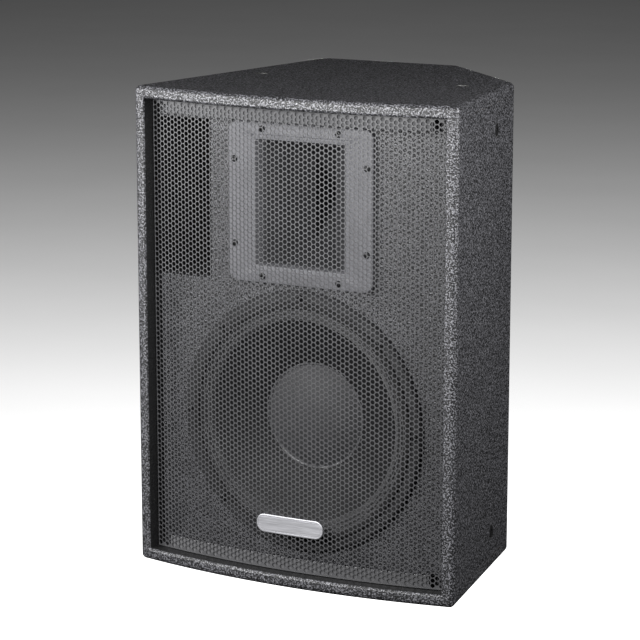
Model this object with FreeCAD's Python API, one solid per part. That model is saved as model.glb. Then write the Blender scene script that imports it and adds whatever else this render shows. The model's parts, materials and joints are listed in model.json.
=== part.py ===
"""PA speaker cabinet with a 12 inch woofer, a horn, a side port and a bowed grille.

Millimetres.  Every piece is drawn with x = 0 on the middle of the front, y = 0 on
the chord between the two front corners (y grows towards the back) and z = 0 on the
underside of the box.  At the end everything is moved so that the origin lies on the
floor, under the middle of the overall depth.
"""
import FreeCAD
import Part
import math
import os

from FreeCAD import Vector

# cabinet
HEIGHT = 580.0
WIDTH = 422.0             # between the two front corners
BOW = 23.0                # how far the front edge bulges in front of its corners
DEPTH = 369.0             # from the chord of the front corners to the back
SIDE_TAPER = 9.09         # degrees that each side leans in towards the back
CHAMFER_START = 236.0     # depth at which the right side turns to the chamfer panel
PANEL = 15.0
EDGE_ROUND = 6.5
INNER_ROUND = 3.0
FOOT_HEIGHT = 6.0

# baffle and grille
BAFFLE_Y = 29.0
GRILLE_RECESS = 17.0      # grille front, measured in from the bowed front edge
GRILLE_SHEET = 1.5
GRILLE_GAP = 1.0          # around the edge of the grille
BATTEN_HEIGHT = 17.0
BATTEN_DEPTH = 12.0
BATTEN_HALF = 174.0
STRIP = 1.5               # fastening strip between batten and grille

# horn
HORN_Z = 449.0
HORN_FLANGE = 190.0
HORN_FLANGE_THICK = 6.0
HORN_GASKET = 2.0
HORN_CORNER = 12.0
HORN_CUTOUT = 160.0
MOUTH_WIDTH = 118.0
MOUTH_HEIGHT = 149.0
SLOT_WIDTH = 26.0
SLOT_HEIGHT = 104.0
SLOT_DEPTH = 64.0         # from the flange front to the narrow slot
THROAT_DEPTH = 112.0      # from the flange front to the driver
THROAT = 25.0
HORN_WALL = 4.0
HORN_SCREW_NEAR = 50.0
HORN_SCREW_FAR = 87.0

# port
PORT_WIDTH = 67.5
PORT_HEIGHT = 190.0
PORT_BOTTOM = 352.0
PORT_LENGTH = 98.0        # behind the baffle
PORT_BOARD = 9.0

# woofer
WOOFER_Z = 191.0
FRAME_R = 157.5
FRAME_THICK = 8.0
FRAME_SCREW_R = 149.5
FRAME_INNER_R = 137.0
GASKET_R = 144.5
GASKET_THICK = 3.0
WOOFER_CUTOUT_R = 141.0
CONE_R = 125.0
CONE_NECK_R = 38.2
CONE_EDGE_Y = 27.0
CONE_DEPTH = 47.0
CONE_SKIN = 1.2
CAP_R = 62.0
CAP_RISE = 17.0
FORMER_R = 37.4
FORMER_WALL = 0.8
COIL_WALL = 1.0
COIL_LENGTH = 16.0
POLE_R = 36.5
TOP_PLATE_Y = 104.0
TOP_PLATE = 8.0
MAGNET = 20.0
BACK_PLATE = 9.0
MAGNET_R = 90.0
SPIDER_Y = 84.0
SPIDER_R = 78.0

# compression driver
DRIVER_R = 50.0
DRIVER_COIL_R = 22.0

# rear and bottom fittings
PLATE_WIDTH = 130.0
PLATE_HEIGHT = 90.0
PLATE_X = -60.0
PLATE_Z = 150.0
SOCKET_PITCH = 56.0
SOCKET_R = 15.0
POLE_SOCKET_R = 18.0
POLE_SOCKET_WALL = 2.5
POLE_SOCKET_DEPTH = 82.0
POLE_SOCKET_Y = 215.0
POLE_FLANGE_R = 55.0
FOOT_R = 19.0
BOARD_SHEET = 1.6         # crossover circuit board

# rigging
RIG_SIDE_Y = 160.0
RIG_SIDE_Z = (47.0, 533.0)
RIG_TOP_X = 135.0
RIG_TOP_Y = 172.0
RIG_R = 5.0
RIG_SLEEVE_R = 8.0
PULL_BACK_R = 4.0
PULL_BACK_X = -60.0
PULL_BACK_Z = 505.0

SCREW_R = 2.2
HOLE_SLACK = 0.1

ALONG_Y = Vector(0, 1, 0)
ALONG_Z = Vector(0, 0, 1)
TAPER = math.tan(math.radians(SIDE_TAPER))
HALF = WIDTH / 2
BOW_RADIUS = (HALF ** 2 + BOW ** 2) / (2 * BOW)
INNER_TOP = HEIGHT - PANEL

parts = {}


def keep(name, *shapes):
    """Store one node: a single solid, or a group of separate solids."""
    parts[name] = shapes[0] if len(shapes) == 1 else Part.makeCompound(list(shapes))


# ---- basic shapes ---------------------------------------------------------

def box(x0, x1, y0, y1, z0, z1):
    return Part.makeBox(x1 - x0, y1 - y0, z1 - z0, Vector(x0, y0, z0))


def disc(radius, y0, y1, z, x=0.0):
    return Part.makeCylinder(radius, y1 - y0, Vector(x, y0, z), ALONG_Y)


def ring(outer, inner, y0, y1, z, x=0.0):
    return disc(outer, y0, y1, z, x).cut(disc(inner, y0 - 1, y1 + 1, z, x))


def upright(radius, z0, z1, x, y):
    return Part.makeCylinder(radius, z1 - z0, Vector(x, y, z0), ALONG_Z)


def turned(outline, z):
    """Turn an outline of (radius, y) points about the Y axis at height z."""
    points = [Vector(r, y, z) for r, y in outline]
    face = Part.Face(Part.makePolygon(points + points[:1]))
    return face.revolve(Vector(0, 0, z), ALONG_Y, 360)


def column(corners, z0, z1):
    """Upright prism over a plan outline of (x, y) corners."""
    points = [Vector(x, y, z0) for x, y in corners]
    face = Part.Face(Part.makePolygon(points + points[:1]))
    return face.extrude(Vector(0, 0, z1 - z0))


def rounded_plate(width, height, y0, y1, z, corner, x=0.0):
    plate = box(x - width / 2, x + width / 2, y0, y1, z - height / 2, z + height / 2)
    edges = [e for e in plate.Edges if abs(e.tangentAt(e.FirstParameter).y) > 0.9]
    return plate.makeFillet(corner, edges)


def fused(shapes):
    whole = shapes[0].multiFuse(shapes[1:]) if len(shapes) > 1 else shapes[0]
    return whole.removeSplitter()


def screw(base, direction, shank, head_radius=4.0, head=2.5, radius=SCREW_R):
    """Pan-head screw: the head sits on base and the shank runs against direction."""
    top = Part.makeCylinder(head_radius, head, base, direction)
    top = top.makeFillet(head * 0.45, [e for e in top.Edges if e.Closed][:1])
    body = Part.makeCylinder(radius, shank + 0.5, base - direction * shank, direction)
    recess = Part.makeCylinder(1.4, head, base + direction * head * 0.45, direction)
    return top.fuse(body).cut(recess)


# ---- plan of the box ------------------------------------------------------

def side_x(y, inset=0.0):
    """Half width of the box at depth y, measured inset inside the outer face."""
    return HALF - y * TAPER - inset / math.cos(math.radians(SIDE_TAPER))


def bow_y(x, inset=0.0):
    """Depth of the bowed front arc, or of an arc parallel to it in plan."""
    radius = BOW_RADIUS - inset
    return BOW_RADIUS - BOW - math.sqrt(radius ** 2 - x ** 2)


def plan_corners(inset):
    """Right side start, chamfer, back right, back left and left side start."""
    back = DEPTH - inset
    chamfer_sum = side_x(CHAMFER_START) + CHAMFER_START - inset * math.sqrt(2)
    turn = (chamfer_sum - side_x(0, inset)) / (1 - TAPER)
    return [
        (side_x(0, inset), 0.0),
        (side_x(turn, inset), turn),
        (chamfer_sum - back, back),
        (-side_x(back, inset), back),
        (-side_x(0, inset), 0.0),
    ]


def plan_solid(inset, z0, z1, front_inset=0.0):
    """Prism over the plan outline with the bowed front."""
    corners = [Vector(x, y, z0) for x, y in plan_corners(inset)]
    y = 0.0
    for _ in range(30):
        y = bow_y(side_x(y, inset), front_inset)
    x = side_x(y, inset)
    corners[0] = Vector(x, y, z0)
    corners[-1] = Vector(-x, y, z0)
    edges = [Part.makeLine(a, b) for a, b in zip(corners[:-1], corners[1:])]
    middle = Vector(0, front_inset - BOW, z0)
    edges.append(Part.Arc(corners[-1], middle, corners[0]).toShape())
    return Part.Face(Part.Wire(edges)).extrude(Vector(0, 0, z1 - z0))


def bowed_sheet(front, back, half_width, z0, z1):
    """Curved sheet between two arcs parallel to the front edge."""
    thick = plan_solid(-40.0, z0, z1, front).cut(plan_solid(-60.0, z0 - 1, z1 + 1, back))
    return thick.common(box(-half_width, half_width, -BOW, 60, z0, z1))


# ---- cabinet --------------------------------------------------------------

def make_shell():
    """The hollow box with rounded edges, before it is cut into its boards."""
    block = plan_solid(0.0, 0.0, HEIGHT)
    block = block.makeFillet(EDGE_ROUND, block.Edges)
    hollow = plan_solid(PANEL, PANEL, INNER_TOP, -60.0)
    shell = block.cut(hollow)
    lip = []
    for edge in shell.Edges:
        middle = edge.valueAt((edge.FirstParameter + edge.LastParameter) / 2)
        on_front = abs(middle.y - bow_y(middle.x)) < 0.05
        inner_x = abs(abs(middle.x) - side_x(middle.y, PANEL)) < 0.2
        inner_z = min(abs(middle.z - PANEL), abs(middle.z - INNER_TOP)) < 0.05
        if on_front and (inner_x or inner_z):
            lip.append(edge)
    return shell.makeFillet(INNER_ROUND, lip)


def make_boards(shell, holes):
    keep("bottom_board", shell.common(box(-300, 300, -60, 400, -1, PANEL)).cut(holes))
    keep("top_board", shell.common(box(-300, 300, -60, 400, INNER_TOP, HEIGHT + 1)).cut(holes))
    outer = plan_corners(0.0)
    inner = plan_corners(PANEL)
    reach = 60.0
    outer[0] = (side_x(-reach), -reach)
    outer[4] = (-side_x(-reach), -reach)
    inner[0] = (side_x(-reach, PANEL), -reach)
    inner[4] = (-side_x(-reach, PANEL), -reach)
    names = ["right_side_board", "chamfer_board", "rear_board", "left_side_board"]
    for i, name in enumerate(names):
        corners = [outer[i], outer[i + 1], inner[i + 1], inner[i]]
        wall = column(corners, PANEL, INNER_TOP)
        keep(name, shell.common(wall).cut(holes))


def make_baffle(holes):
    back = BAFFLE_Y + PANEL
    board = plan_solid(PANEL, PANEL, INNER_TOP, -60.0)
    board = board.common(box(-300, 300, BAFFLE_Y, back, 0, HEIGHT))
    board = board.cut(disc(WOOFER_CUTOUT_R, 0, 60, WOOFER_Z))
    board = board.cut(rounded_plate(HORN_CUTOUT, HORN_CUTOUT, 0, 60, HORN_Z, 8.0))
    edge = port_inner_x(BAFFLE_Y)
    notch = box(-HALF, edge, 0, 60, PORT_BOTTOM, PORT_BOTTOM + PORT_HEIGHT)
    keep("baffle_board", board.cut(notch).cut(holes))


def make_bracing():
    y0 = 200.0
    left = -side_x(y0, PANEL)
    right = side_x(y0 + 18, PANEL)
    keep("cross_brace", box(left + 4, right, y0, y0 + 18, 305, 335).common(
        plan_solid(PANEL, PANEL, INNER_TOP)))
    sheet = plan_solid(PANEL, PANEL, INNER_TOP).cut(plan_solid(PANEL + 18, 0, HEIGHT))
    back = sheet.common(box(-110, 25, DEPTH - 60, DEPTH, 225, 480))
    side = sheet.common(box(100, HALF, 70, 225, 75, 290))
    ceiling = box(-70, 60, 205, 320, INNER_TOP - 18, INNER_TOP)
    keep("damping_sheets", back, side, ceiling)


def make_grille():
    front = GRILLE_RECESS
    back = GRILLE_RECESS + GRILLE_SHEET
    low = PANEL + GRILLE_GAP
    high = INNER_TOP - GRILLE_GAP
    half = side_x(bow_y(HALF - PANEL, back), PANEL) - GRILLE_GAP
    keep("grille", bowed_sheet(front, back, half, low, high))
    strips = []
    for name, z0 in (("bottom", PANEL), ("top", INNER_TOP - BATTEN_HEIGHT)):
        z1 = z0 + BATTEN_HEIGHT
        strips.append(bowed_sheet(back, back + STRIP, BATTEN_HALF, z0 + 1, z1 - 1))
        keep("grille_batten_" + name,
             bowed_sheet(back + STRIP, back + STRIP + BATTEN_DEPTH, BATTEN_HALF, z0, z1))
    keep("fastening_strips", *strips)
    blank = box(-44, 44, -BOW, 30, 60, 82)
    edges = [e for e in blank.Edges if abs(e.tangentAt(e.FirstParameter).y) > 0.9]
    blank = blank.makeFillet(10.0, edges)
    keep("blank_badge", bowed_sheet(front - 1.5, front, 60, 55, 90).common(blank))


# ---- port -----------------------------------------------------------------

def port_inner_x(y):
    """The divider runs parallel to the left side, one port width inside it."""
    return -side_x(y, PANEL) + PORT_WIDTH


def make_port():
    y0 = BAFFLE_Y + PANEL
    y1 = y0 + PORT_LENGTH
    top = PORT_BOTTOM + PORT_HEIGHT
    divider = [
        (port_inner_x(y0), y0),
        (port_inner_x(y0) + PORT_BOARD, y0),
        (port_inner_x(y1) + PORT_BOARD, y1),
        (port_inner_x(y1), y1),
    ]
    shelf = [
        (-side_x(y0, PANEL), y0),
        (port_inner_x(y0) + PORT_BOARD, y0),
        (port_inner_x(y1) + PORT_BOARD, y1),
        (-side_x(y1, PANEL), y1),
    ]
    keep("port_divider", column(divider, PORT_BOTTOM, top))
    keep("port_shelves", column(shelf, PORT_BOTTOM - PORT_BOARD, PORT_BOTTOM),
         column(shelf, top, top + PORT_BOARD))


# ---- woofer ---------------------------------------------------------------

def around(count, radius, start=90.0):
    """Points (x, z offset) evenly spaced on a circle about the Y axis."""
    angles = [math.radians(start + 360.0 * i / count) for i in range(count)]
    return [(radius * math.cos(a), radius * math.sin(a)) for a in angles]


def make_woofer_frame():
    front = BAFFLE_Y - FRAME_THICK
    flange = turned(
        [
            (FRAME_INNER_R, front + 1.5),
            (FRAME_INNER_R, BAFFLE_Y),
            (FRAME_R, BAFFLE_Y),
            (FRAME_R, front + 2.5),
            (FRAME_R - 2.5, front),
            (GASKET_R + 0.6, front),
            (GASKET_R + 0.6, front + 1.5),
        ],
        WOOFER_Z,
    )
    throat_y = BAFFLE_Y + 10
    collar = ring(FRAME_INNER_R + 3, FRAME_INNER_R, BAFFLE_Y - 1, throat_y, WOOFER_Z)
    seat_y = TOP_PLATE_Y - 4
    seat = ring(86, 60, seat_y, TOP_PLATE_Y, WOOFER_Z)
    shelf = ring(88, SPIDER_R - 6, SPIDER_Y + 2, SPIDER_Y + 6, WOOFER_Z)
    cage = turned(
        [
            (FRAME_INNER_R, throat_y - 1),
            (FRAME_INNER_R + 3, throat_y - 1),
            (88, SPIDER_Y + 6),
            (86, TOP_PLATE_Y),
            (82, TOP_PLATE_Y),
            (82, SPIDER_Y + 4),
        ],
        WOOFER_Z,
    )
    windows = []
    for x, z in around(8, 112, 112.5):
        window = Part.makeCylinder(26, 60, Vector(x * 0.62, throat_y + 12, WOOFER_Z + z * 0.62),
                                   Vector(x, 24, z))
        windows.append(window)
    keep_clear = disc(92, SPIDER_Y - 2, TOP_PLATE_Y + 1, WOOFER_Z)
    cage = cage.cut(fused(windows).cut(keep_clear))
    holes = [disc(SCREW_R + HOLE_SLACK, 0, 60, WOOFER_Z + z, x) for x, z in around(8, FRAME_SCREW_R)]
    frame = fused([flange, collar, cage, shelf, seat])
    keep("woofer_frame", frame.cut(Part.makeCompound(holes)))
    keep("woofer_gasket", turned(
        [
            (FRAME_INNER_R, front - GASKET_THICK + 1),
            (FRAME_INNER_R, front),
            (GASKET_R, front),
            (GASKET_R, front - GASKET_THICK + 1),
            (GASKET_R - 1, front - GASKET_THICK),
            (FRAME_INNER_R + 1, front - GASKET_THICK),
        ],
        WOOFER_Z,
    ))
    screws = [
        screw(Vector(x, front, WOOFER_Z + z), Vector(0, -1, 0), 22.0)
        for x, z in around(8, FRAME_SCREW_R)
    ]
    keep("woofer_screws", *screws)


def rolled_ring(r0, y0, r1, y1, rolls, height, skin):
    """Pleated ring from (r0, y0) to (r1, y1), as a turned wavy strip."""
    steps = 12 * rolls
    front = []
    back = []
    for i in range(steps + 1):
        t = i / steps
        wave = height * math.sin(math.pi * rolls * 2 * t)
        radius = r0 + (r1 - r0) * t
        middle = y0 + (y1 - y0) * t + wave
        front.append((radius, middle - skin / 2))
        back.append((radius, middle + skin / 2))
    return turned(front + back[::-1], WOOFER_Z)


def cone_y(radius):
    return CONE_EDGE_Y + (CONE_R - radius) / (CONE_R - CONE_NECK_R) * CONE_DEPTH


def make_woofer_moving():
    skin = CONE_SKIN
    keep("woofer_cone", turned(
        [
            (CONE_R, cone_y(CONE_R)),
            (CONE_R, cone_y(CONE_R) + skin),
            (CONE_NECK_R, cone_y(CONE_NECK_R) + skin),
            (CONE_NECK_R, cone_y(CONE_NECK_R)),
        ],
        WOOFER_Z,
    ))
    rim_y = cone_y(CAP_R)
    radius = (CAP_R ** 2 + CAP_RISE ** 2) / (2 * CAP_RISE)
    centre = Vector(0, rim_y - CAP_RISE + radius, WOOFER_Z)
    dome = Part.makeSphere(radius, centre).cut(Part.makeSphere(radius - 1.0, centre))
    keep("woofer_dust_cap", dome.common(disc(CAP_R, rim_y - CAP_RISE - 1, rim_y, WOOFER_Z)))
    former_y = cone_y(CONE_NECK_R)
    coil_end = TOP_PLATE_Y + TOP_PLATE / 2 + COIL_LENGTH / 2
    outer = FORMER_R + FORMER_WALL
    keep("woofer_coil_former", ring(outer, FORMER_R, former_y, coil_end, WOOFER_Z))
    keep("woofer_voice_coil", ring(outer + COIL_WALL, outer, coil_end - COIL_LENGTH, coil_end,
                                   WOOFER_Z))


def make_woofer_soft():
    front = BAFFLE_Y - FRAME_THICK
    lip = turned(
        [(FRAME_INNER_R - 1, front), (FRAME_INNER_R - 1, front + 1),
         (GASKET_R - 1, front + 1), (GASKET_R - 1, front)],
        WOOFER_Z,
    )
    rolls = rolled_ring(FRAME_INNER_R - 1, front + 0.5, CONE_R, CONE_EDGE_Y - 0.5, 2, 1.6, 1.0)
    keep("woofer_surround", fused([lip, rolls]))
    edge = SPIDER_R - 6
    seat = ring(SPIDER_R + 2, edge - 0.2, SPIDER_Y + 1, SPIDER_Y + 2, WOOFER_Z)
    former = FORMER_R + FORMER_WALL
    waves = rolled_ring(edge, SPIDER_Y + 1.5, former, SPIDER_Y - 4, 4, 2.2, 1.0)
    keep("woofer_spider", fused([seat, waves]))


def make_woofer_motor():
    magnet_y = TOP_PLATE_Y + TOP_PLATE
    back_y = magnet_y + MAGNET
    coil_outer = FORMER_R + FORMER_WALL + COIL_WALL
    keep("woofer_top_plate", ring(80, coil_outer + 0.8, TOP_PLATE_Y, magnet_y, WOOFER_Z))
    keep("woofer_magnet", ring(MAGNET_R, 50, magnet_y, back_y, WOOFER_Z))
    pole = disc(POLE_R, TOP_PLATE_Y, back_y + 1, WOOFER_Z)
    plate = disc(80, back_y, back_y + BACK_PLATE, WOOFER_Z)
    vent = disc(12, TOP_PLATE_Y - 1, back_y + BACK_PLATE + 1, WOOFER_Z)
    keep("woofer_back_plate", fused([pole, plate]).cut(vent))
    block = box(-16, 16, SPIDER_Y + 6, TOP_PLATE_Y + 2, WOOFER_Z + 88, WOOFER_Z + 94)
    tabs = [box(x - 3, x + 3, TOP_PLATE_Y + 1, TOP_PLATE_Y + 12, WOOFER_Z + 90.5, WOOFER_Z + 91.5)
            for x in (-9, 9)]
    keep("woofer_terminals", fused([block] + tabs))


# ---- horn and compression driver -------------------------------------------

def flare(sections):
    """Straight-sided funnel through (width, height, y) sections."""
    wires = []
    for width, height, y in sections:
        x = width / 2
        z = height / 2
        points = [
            Vector(-x, y, HORN_Z - z), Vector(x, y, HORN_Z - z),
            Vector(x, y, HORN_Z + z), Vector(-x, y, HORN_Z + z),
        ]
        wires.append(Part.makePolygon(points + points[:1]))
    return Part.makeLoft(wires, True, True)


def horn_screw_places():
    near = HORN_SCREW_NEAR
    far = HORN_SCREW_FAR
    places = [(sx * near, sz * far) for sx in (-1, 1) for sz in (-1, 1)]
    return places + [(sx * far, sz * near) for sx in (-1, 1) for sz in (-1, 1)]


def make_horn():
    front = BAFFLE_Y - HORN_GASKET - HORN_FLANGE_THICK
    slot_y = front + SLOT_DEPTH
    end_y = front + THROAT_DEPTH
    wall = 2 * HORN_WALL
    flange_back = front + HORN_FLANGE_THICK
    plate = rounded_plate(HORN_FLANGE, HORN_FLANGE, front, flange_back, HORN_Z, HORN_CORNER)
    rim = [e for e in plate.Edges if e.BoundBox.YMax < front + 0.01]
    plate = plate.makeFillet(2.0, rim)
    outside = flare([
        (MOUTH_WIDTH + wall, MOUTH_HEIGHT + wall, flange_back - 1),
        (SLOT_WIDTH + wall, SLOT_HEIGHT + wall, slot_y),
        (THROAT + wall, THROAT + wall, end_y - 8),
    ])
    inside = flare([
        (MOUTH_WIDTH, MOUTH_HEIGHT, front),
        (SLOT_WIDTH, SLOT_HEIGHT, slot_y),
        (THROAT, THROAT, end_y),
    ])
    back_flange = disc(DRIVER_R - 6, end_y - 8, end_y, HORN_Z)
    horn = fused([plate, outside, back_flange]).cut(inside)
    holes = [
        disc(SCREW_R + HOLE_SLACK, front - 1, flange_back + 1, HORN_Z + z, x)
        for x, z in horn_screw_places()
    ]
    bolt_holes = [disc(2.5 + HOLE_SLACK, end_y - 20, end_y + 5, HORN_Z + z, x)
                  for x, z in around(4, 38, 45)]
    keep("horn", horn.cut(Part.makeCompound(holes + bolt_holes)))
    gasket = rounded_plate(HORN_FLANGE - 4, HORN_FLANGE - 4, flange_back, BAFFLE_Y, HORN_Z, 10.0)
    opening = rounded_plate(HORN_CUTOUT, HORN_CUTOUT, flange_back - 1, BAFFLE_Y + 1, HORN_Z, 8.0)
    gasket_holes = [disc(SCREW_R + HOLE_SLACK, 0, 60, HORN_Z + z, x) for x, z in horn_screw_places()]
    keep("horn_gasket", gasket.cut(opening).cut(Part.makeCompound(gasket_holes)))
    screws = [
        screw(Vector(x, front, HORN_Z + z), Vector(0, -1, 0), 20.0)
        for x, z in horn_screw_places()
    ]
    keep("horn_screws", *screws)
    return end_y


def make_driver(start):
    """Compression driver behind the horn throat; returns where its rear cover starts."""
    plate_end = start + 8
    magnet_end = plate_end + 16
    top_end = magnet_end + 7
    bore = THROAT / 2
    gap_outer = DRIVER_COIL_R + 1.3
    gap_inner = DRIVER_COIL_R - 1.0
    bolts = around(4, 38, 45)
    plate = disc(DRIVER_R - 4, start, plate_end, HORN_Z)
    pole = disc(gap_inner, start, top_end, HORN_Z)
    cone = Part.makeCone(bore, gap_inner - 3, top_end - start, Vector(0, start, HORN_Z), ALONG_Y)
    bolt_holes = [disc(2.5 + HOLE_SLACK, start - 1, plate_end - 1, HORN_Z + z, x) for x, z in bolts]
    keep("driver_front_plate",
         fused([plate, pole]).cut(cone).cut(Part.makeCompound(bolt_holes)))
    keep("driver_magnet", ring(DRIVER_R, 30, plate_end, magnet_end, HORN_Z))
    keep("driver_top_plate", ring(DRIVER_R - 4, gap_outer, magnet_end, top_end, HORN_Z))
    plug = Part.makeCone(2.0, 13.0, top_end - start - 4, Vector(0, start + 4, HORN_Z), ALONG_Y)
    ribs = [box(-30, 30, start + 6, top_end - 1, HORN_Z - 1, HORN_Z + 1),
            box(-1, 1, start + 6, top_end - 1, HORN_Z - 30, HORN_Z + 30)]
    plug = fused([plug] + [rib.common(cone) for rib in ribs])
    keep("driver_phase_plug", plug)
    dome_y = top_end + 2
    rise = 8.0
    radius = (DRIVER_COIL_R ** 2 + rise ** 2) / (2 * rise)
    centre = Vector(0, dome_y + rise - radius, HORN_Z)
    dome = Part.makeSphere(radius, centre).cut(Part.makeSphere(radius - 0.5, centre))
    keep("driver_diaphragm", dome.common(disc(DRIVER_COIL_R, dome_y, dome_y + rise + 1, HORN_Z)))
    coil_inner = DRIVER_COIL_R - 0.5
    keep("driver_voice_coil", ring(DRIVER_COIL_R + 0.3, coil_inner, top_end - 6, dome_y, HORN_Z))
    clamp = ring(DRIVER_R - 6, 28, top_end, top_end + 2, HORN_Z)
    keep("driver_clamp_ring", clamp)
    keep("driver_surround", turned(
        [(28.0, top_end + 1.0), (28.0, top_end + 1.4),
         (DRIVER_COIL_R + 0.3, dome_y - 0.2), (DRIVER_COIL_R + 0.3, dome_y - 0.6)],
        HORN_Z,
    ))
    cover_y = top_end + 2
    cover = disc(DRIVER_R - 6, cover_y, cover_y + 20, HORN_Z)
    cover = cover.makeFillet(5.0, [e for e in cover.Edges if e.BoundBox.YMin > cover_y + 19])
    cover = cover.cut(disc(DRIVER_R - 14, cover_y - 1, cover_y + 16, HORN_Z))
    screw_places = around(3, DRIVER_R - 10, 30)
    holes = [disc(1.5 + HOLE_SLACK, start, cover_y + 30, HORN_Z + z, x).common(
        disc(DRIVER_R, magnet_end + 1, cover_y + 30, HORN_Z)) for x, z in screw_places]
    drilled = Part.makeCompound(holes)
    keep("driver_rear_cover", cover.cut(drilled))
    parts["driver_clamp_ring"] = clamp.cut(drilled)
    parts["driver_top_plate"] = parts["driver_top_plate"].cut(drilled)
    keep("driver_cover_screws", *[
        screw(Vector(x, cover_y + 20, HORN_Z + z), ALONG_Y, 22 + 5, 2.8, 2.0, 1.5)
        for x, z in screw_places])
    keep("driver_mounting_bolts", *[
        screw(Vector(x, start - 8, HORN_Z + z), Vector(0, -1, 0), 14, 4.2, 4.0, 2.5)
        for x, z in bolts])
    return cover_y


# ---- fittings --------------------------------------------------------------

def make_connector_plate():
    """Steel plate let into the rear board, with two round speaker sockets."""
    face = DEPTH - 1.0
    back = face - 2.0
    plate = rounded_plate(PLATE_WIDTH, PLATE_HEIGHT, back, face, PLATE_Z, 6.0, PLATE_X)
    pocket = rounded_plate(PLATE_WIDTH + 1, PLATE_HEIGHT + 1, back, DEPTH + 5, PLATE_Z, 6.5, PLATE_X)
    through = rounded_plate(PLATE_WIDTH - 24, PLATE_HEIGHT - 24, DEPTH - 40, DEPTH, PLATE_Z, 4.0,
                            PLATE_X)
    tabs = []
    sockets = []
    for x in (PLATE_X - SOCKET_PITCH / 2, PLATE_X + SOCKET_PITCH / 2):
        plate = plate.cut(disc(SOCKET_R + HOLE_SLACK, back - 1, face + 1, PLATE_Z, x))
        shell = ring(SOCKET_R, SOCKET_R - 2.5, face - 26, face, PLATE_Z, x)
        floor = disc(SOCKET_R, face - 28, face - 25, PLATE_Z, x)
        core = ring(5.5, 2.5, face - 27, face - 3, PLATE_Z, x)
        keys = [box(x + side * (SOCKET_R - 3.6) - 1.2, x + side * (SOCKET_R - 3.6) + 1.2,
                    face - 26, face - 2, PLATE_Z - 1.5, PLATE_Z + 1.5) for side in (-1, 1)]
        sockets.append(fused([shell, floor, core] + keys))
        tabs += [box(x + dx - 2.2, x + dx + 2.2, face - 38, face - 28, PLATE_Z + dz - 0.4,
                     PLATE_Z + dz + 0.4) for dx in (-7, 7) for dz in (-6, 6)]
    keep("speaker_sockets", *sockets)
    keep("socket_tabs", *tabs)
    places = [(PLATE_X + sx * (PLATE_WIDTH / 2 - 8), PLATE_Z + sz * (PLATE_HEIGHT / 2 - 8))
              for sx in (-1, 1) for sz in (-1, 1)]
    holes = [disc(1.6 + HOLE_SLACK, DEPTH - 13, DEPTH, z, x) for x, z in places]
    keep("connector_plate", plate.cut(Part.makeCompound(holes)))
    keep("connector_plate_screws", *[
        screw(Vector(x, face, z), ALONG_Y, 11, 3.0, 0.95, 1.6) for x, z in places])
    return [pocket, through] + holes


def make_pole_socket():
    """Top-hat socket in the bottom board: flange, tube and closed end."""
    y = POLE_SOCKET_Y
    outer = POLE_SOCKET_R + POLE_SOCKET_WALL
    flange = upright(POLE_FLANGE_R, 0, 3, 0, y)
    tube = upright(outer, 0, POLE_SOCKET_DEPTH + 3, 0, y)
    bore = upright(POLE_SOCKET_R, -1, POLE_SOCKET_DEPTH, 0, y)
    places = [(46 * math.cos(a), 46 * math.sin(a)) for a in
              [math.radians(45 + 90 * i) for i in range(4)]]
    shank_holes = [upright(SCREW_R + HOLE_SLACK, -1, 14, x, y + dy) for x, dy in places]
    heads = [upright(4.3, -1, 1.2, x, y + dy) for x, dy in places]
    socket = fused([flange, tube]).cut(bore).cut(Part.makeCompound(shank_holes + heads))
    keep("pole_socket", socket)
    keep("pole_socket_screws", *[
        upright(4.0, 0.1, 1.2, x, y + dy).fuse(upright(SCREW_R, 1.0, 13.5, x, y + dy))
        for x, dy in places])
    return [upright(POLE_FLANGE_R + 0.2, -1, 3, 0, y), upright(outer + 0.2, 0, 30, 0, y)] + shank_holes


def make_feet():
    places = [(-165.0, 42.0), (165.0, 42.0), (-115.0, 325.0), (20.0, 325.0)]
    feet = []
    screws = []
    holes = []
    for x, y in places:
        foot = Part.makeCone(FOOT_R - 1.5, FOOT_R, FOOT_HEIGHT, Vector(x, y, -FOOT_HEIGHT), ALONG_Z)
        foot = foot.cut(upright(5.0, -FOOT_HEIGHT - 1, -3.0, x, y))
        feet.append(foot.cut(upright(SCREW_R + HOLE_SLACK, -FOOT_HEIGHT, 1, x, y)))
        head = upright(4.0, -5.0, -3.0, x, y)
        screws.append(head.fuse(upright(SCREW_R, -3.0, 12.5, x, y)))
        holes.append(upright(SCREW_R + HOLE_SLACK, -1, 13, x, y))
    keep("rubber_feet", *feet)
    keep("foot_screws", *screws)
    return holes


def rig_insert(base, inward):
    """Threaded sleeve with an inner collar, and the countersunk blanking screw in it."""
    sleeve = Part.makeCylinder(RIG_SLEEVE_R, PANEL, base, inward)
    collar = Part.makeCylinder(14.0, 3.0, base + inward * PANEL, inward)
    bore = Part.makeCylinder(RIG_R + HOLE_SLACK, PANEL + 10, base - inward, inward)
    sink = Part.makeCone(RIG_SLEEVE_R - 0.8, RIG_R, 4.0, base, inward)
    insert = sleeve.fuse(collar).cut(bore).cut(sink)
    head = Part.makeCone(RIG_SLEEVE_R - 1.0, RIG_R - 0.2, 4.0, base + inward * 0.3, inward)
    shank = Part.makeCylinder(RIG_R, PANEL, base + inward * 1.0, inward)
    hexagon = Part.makeCylinder(3.0, 3.0, base - inward * 0.5, inward)
    hole = Part.makeCylinder(RIG_SLEEVE_R, 60, base - inward * 30, inward)
    return insert, head.fuse(shank).cut(hexagon), hole


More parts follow.
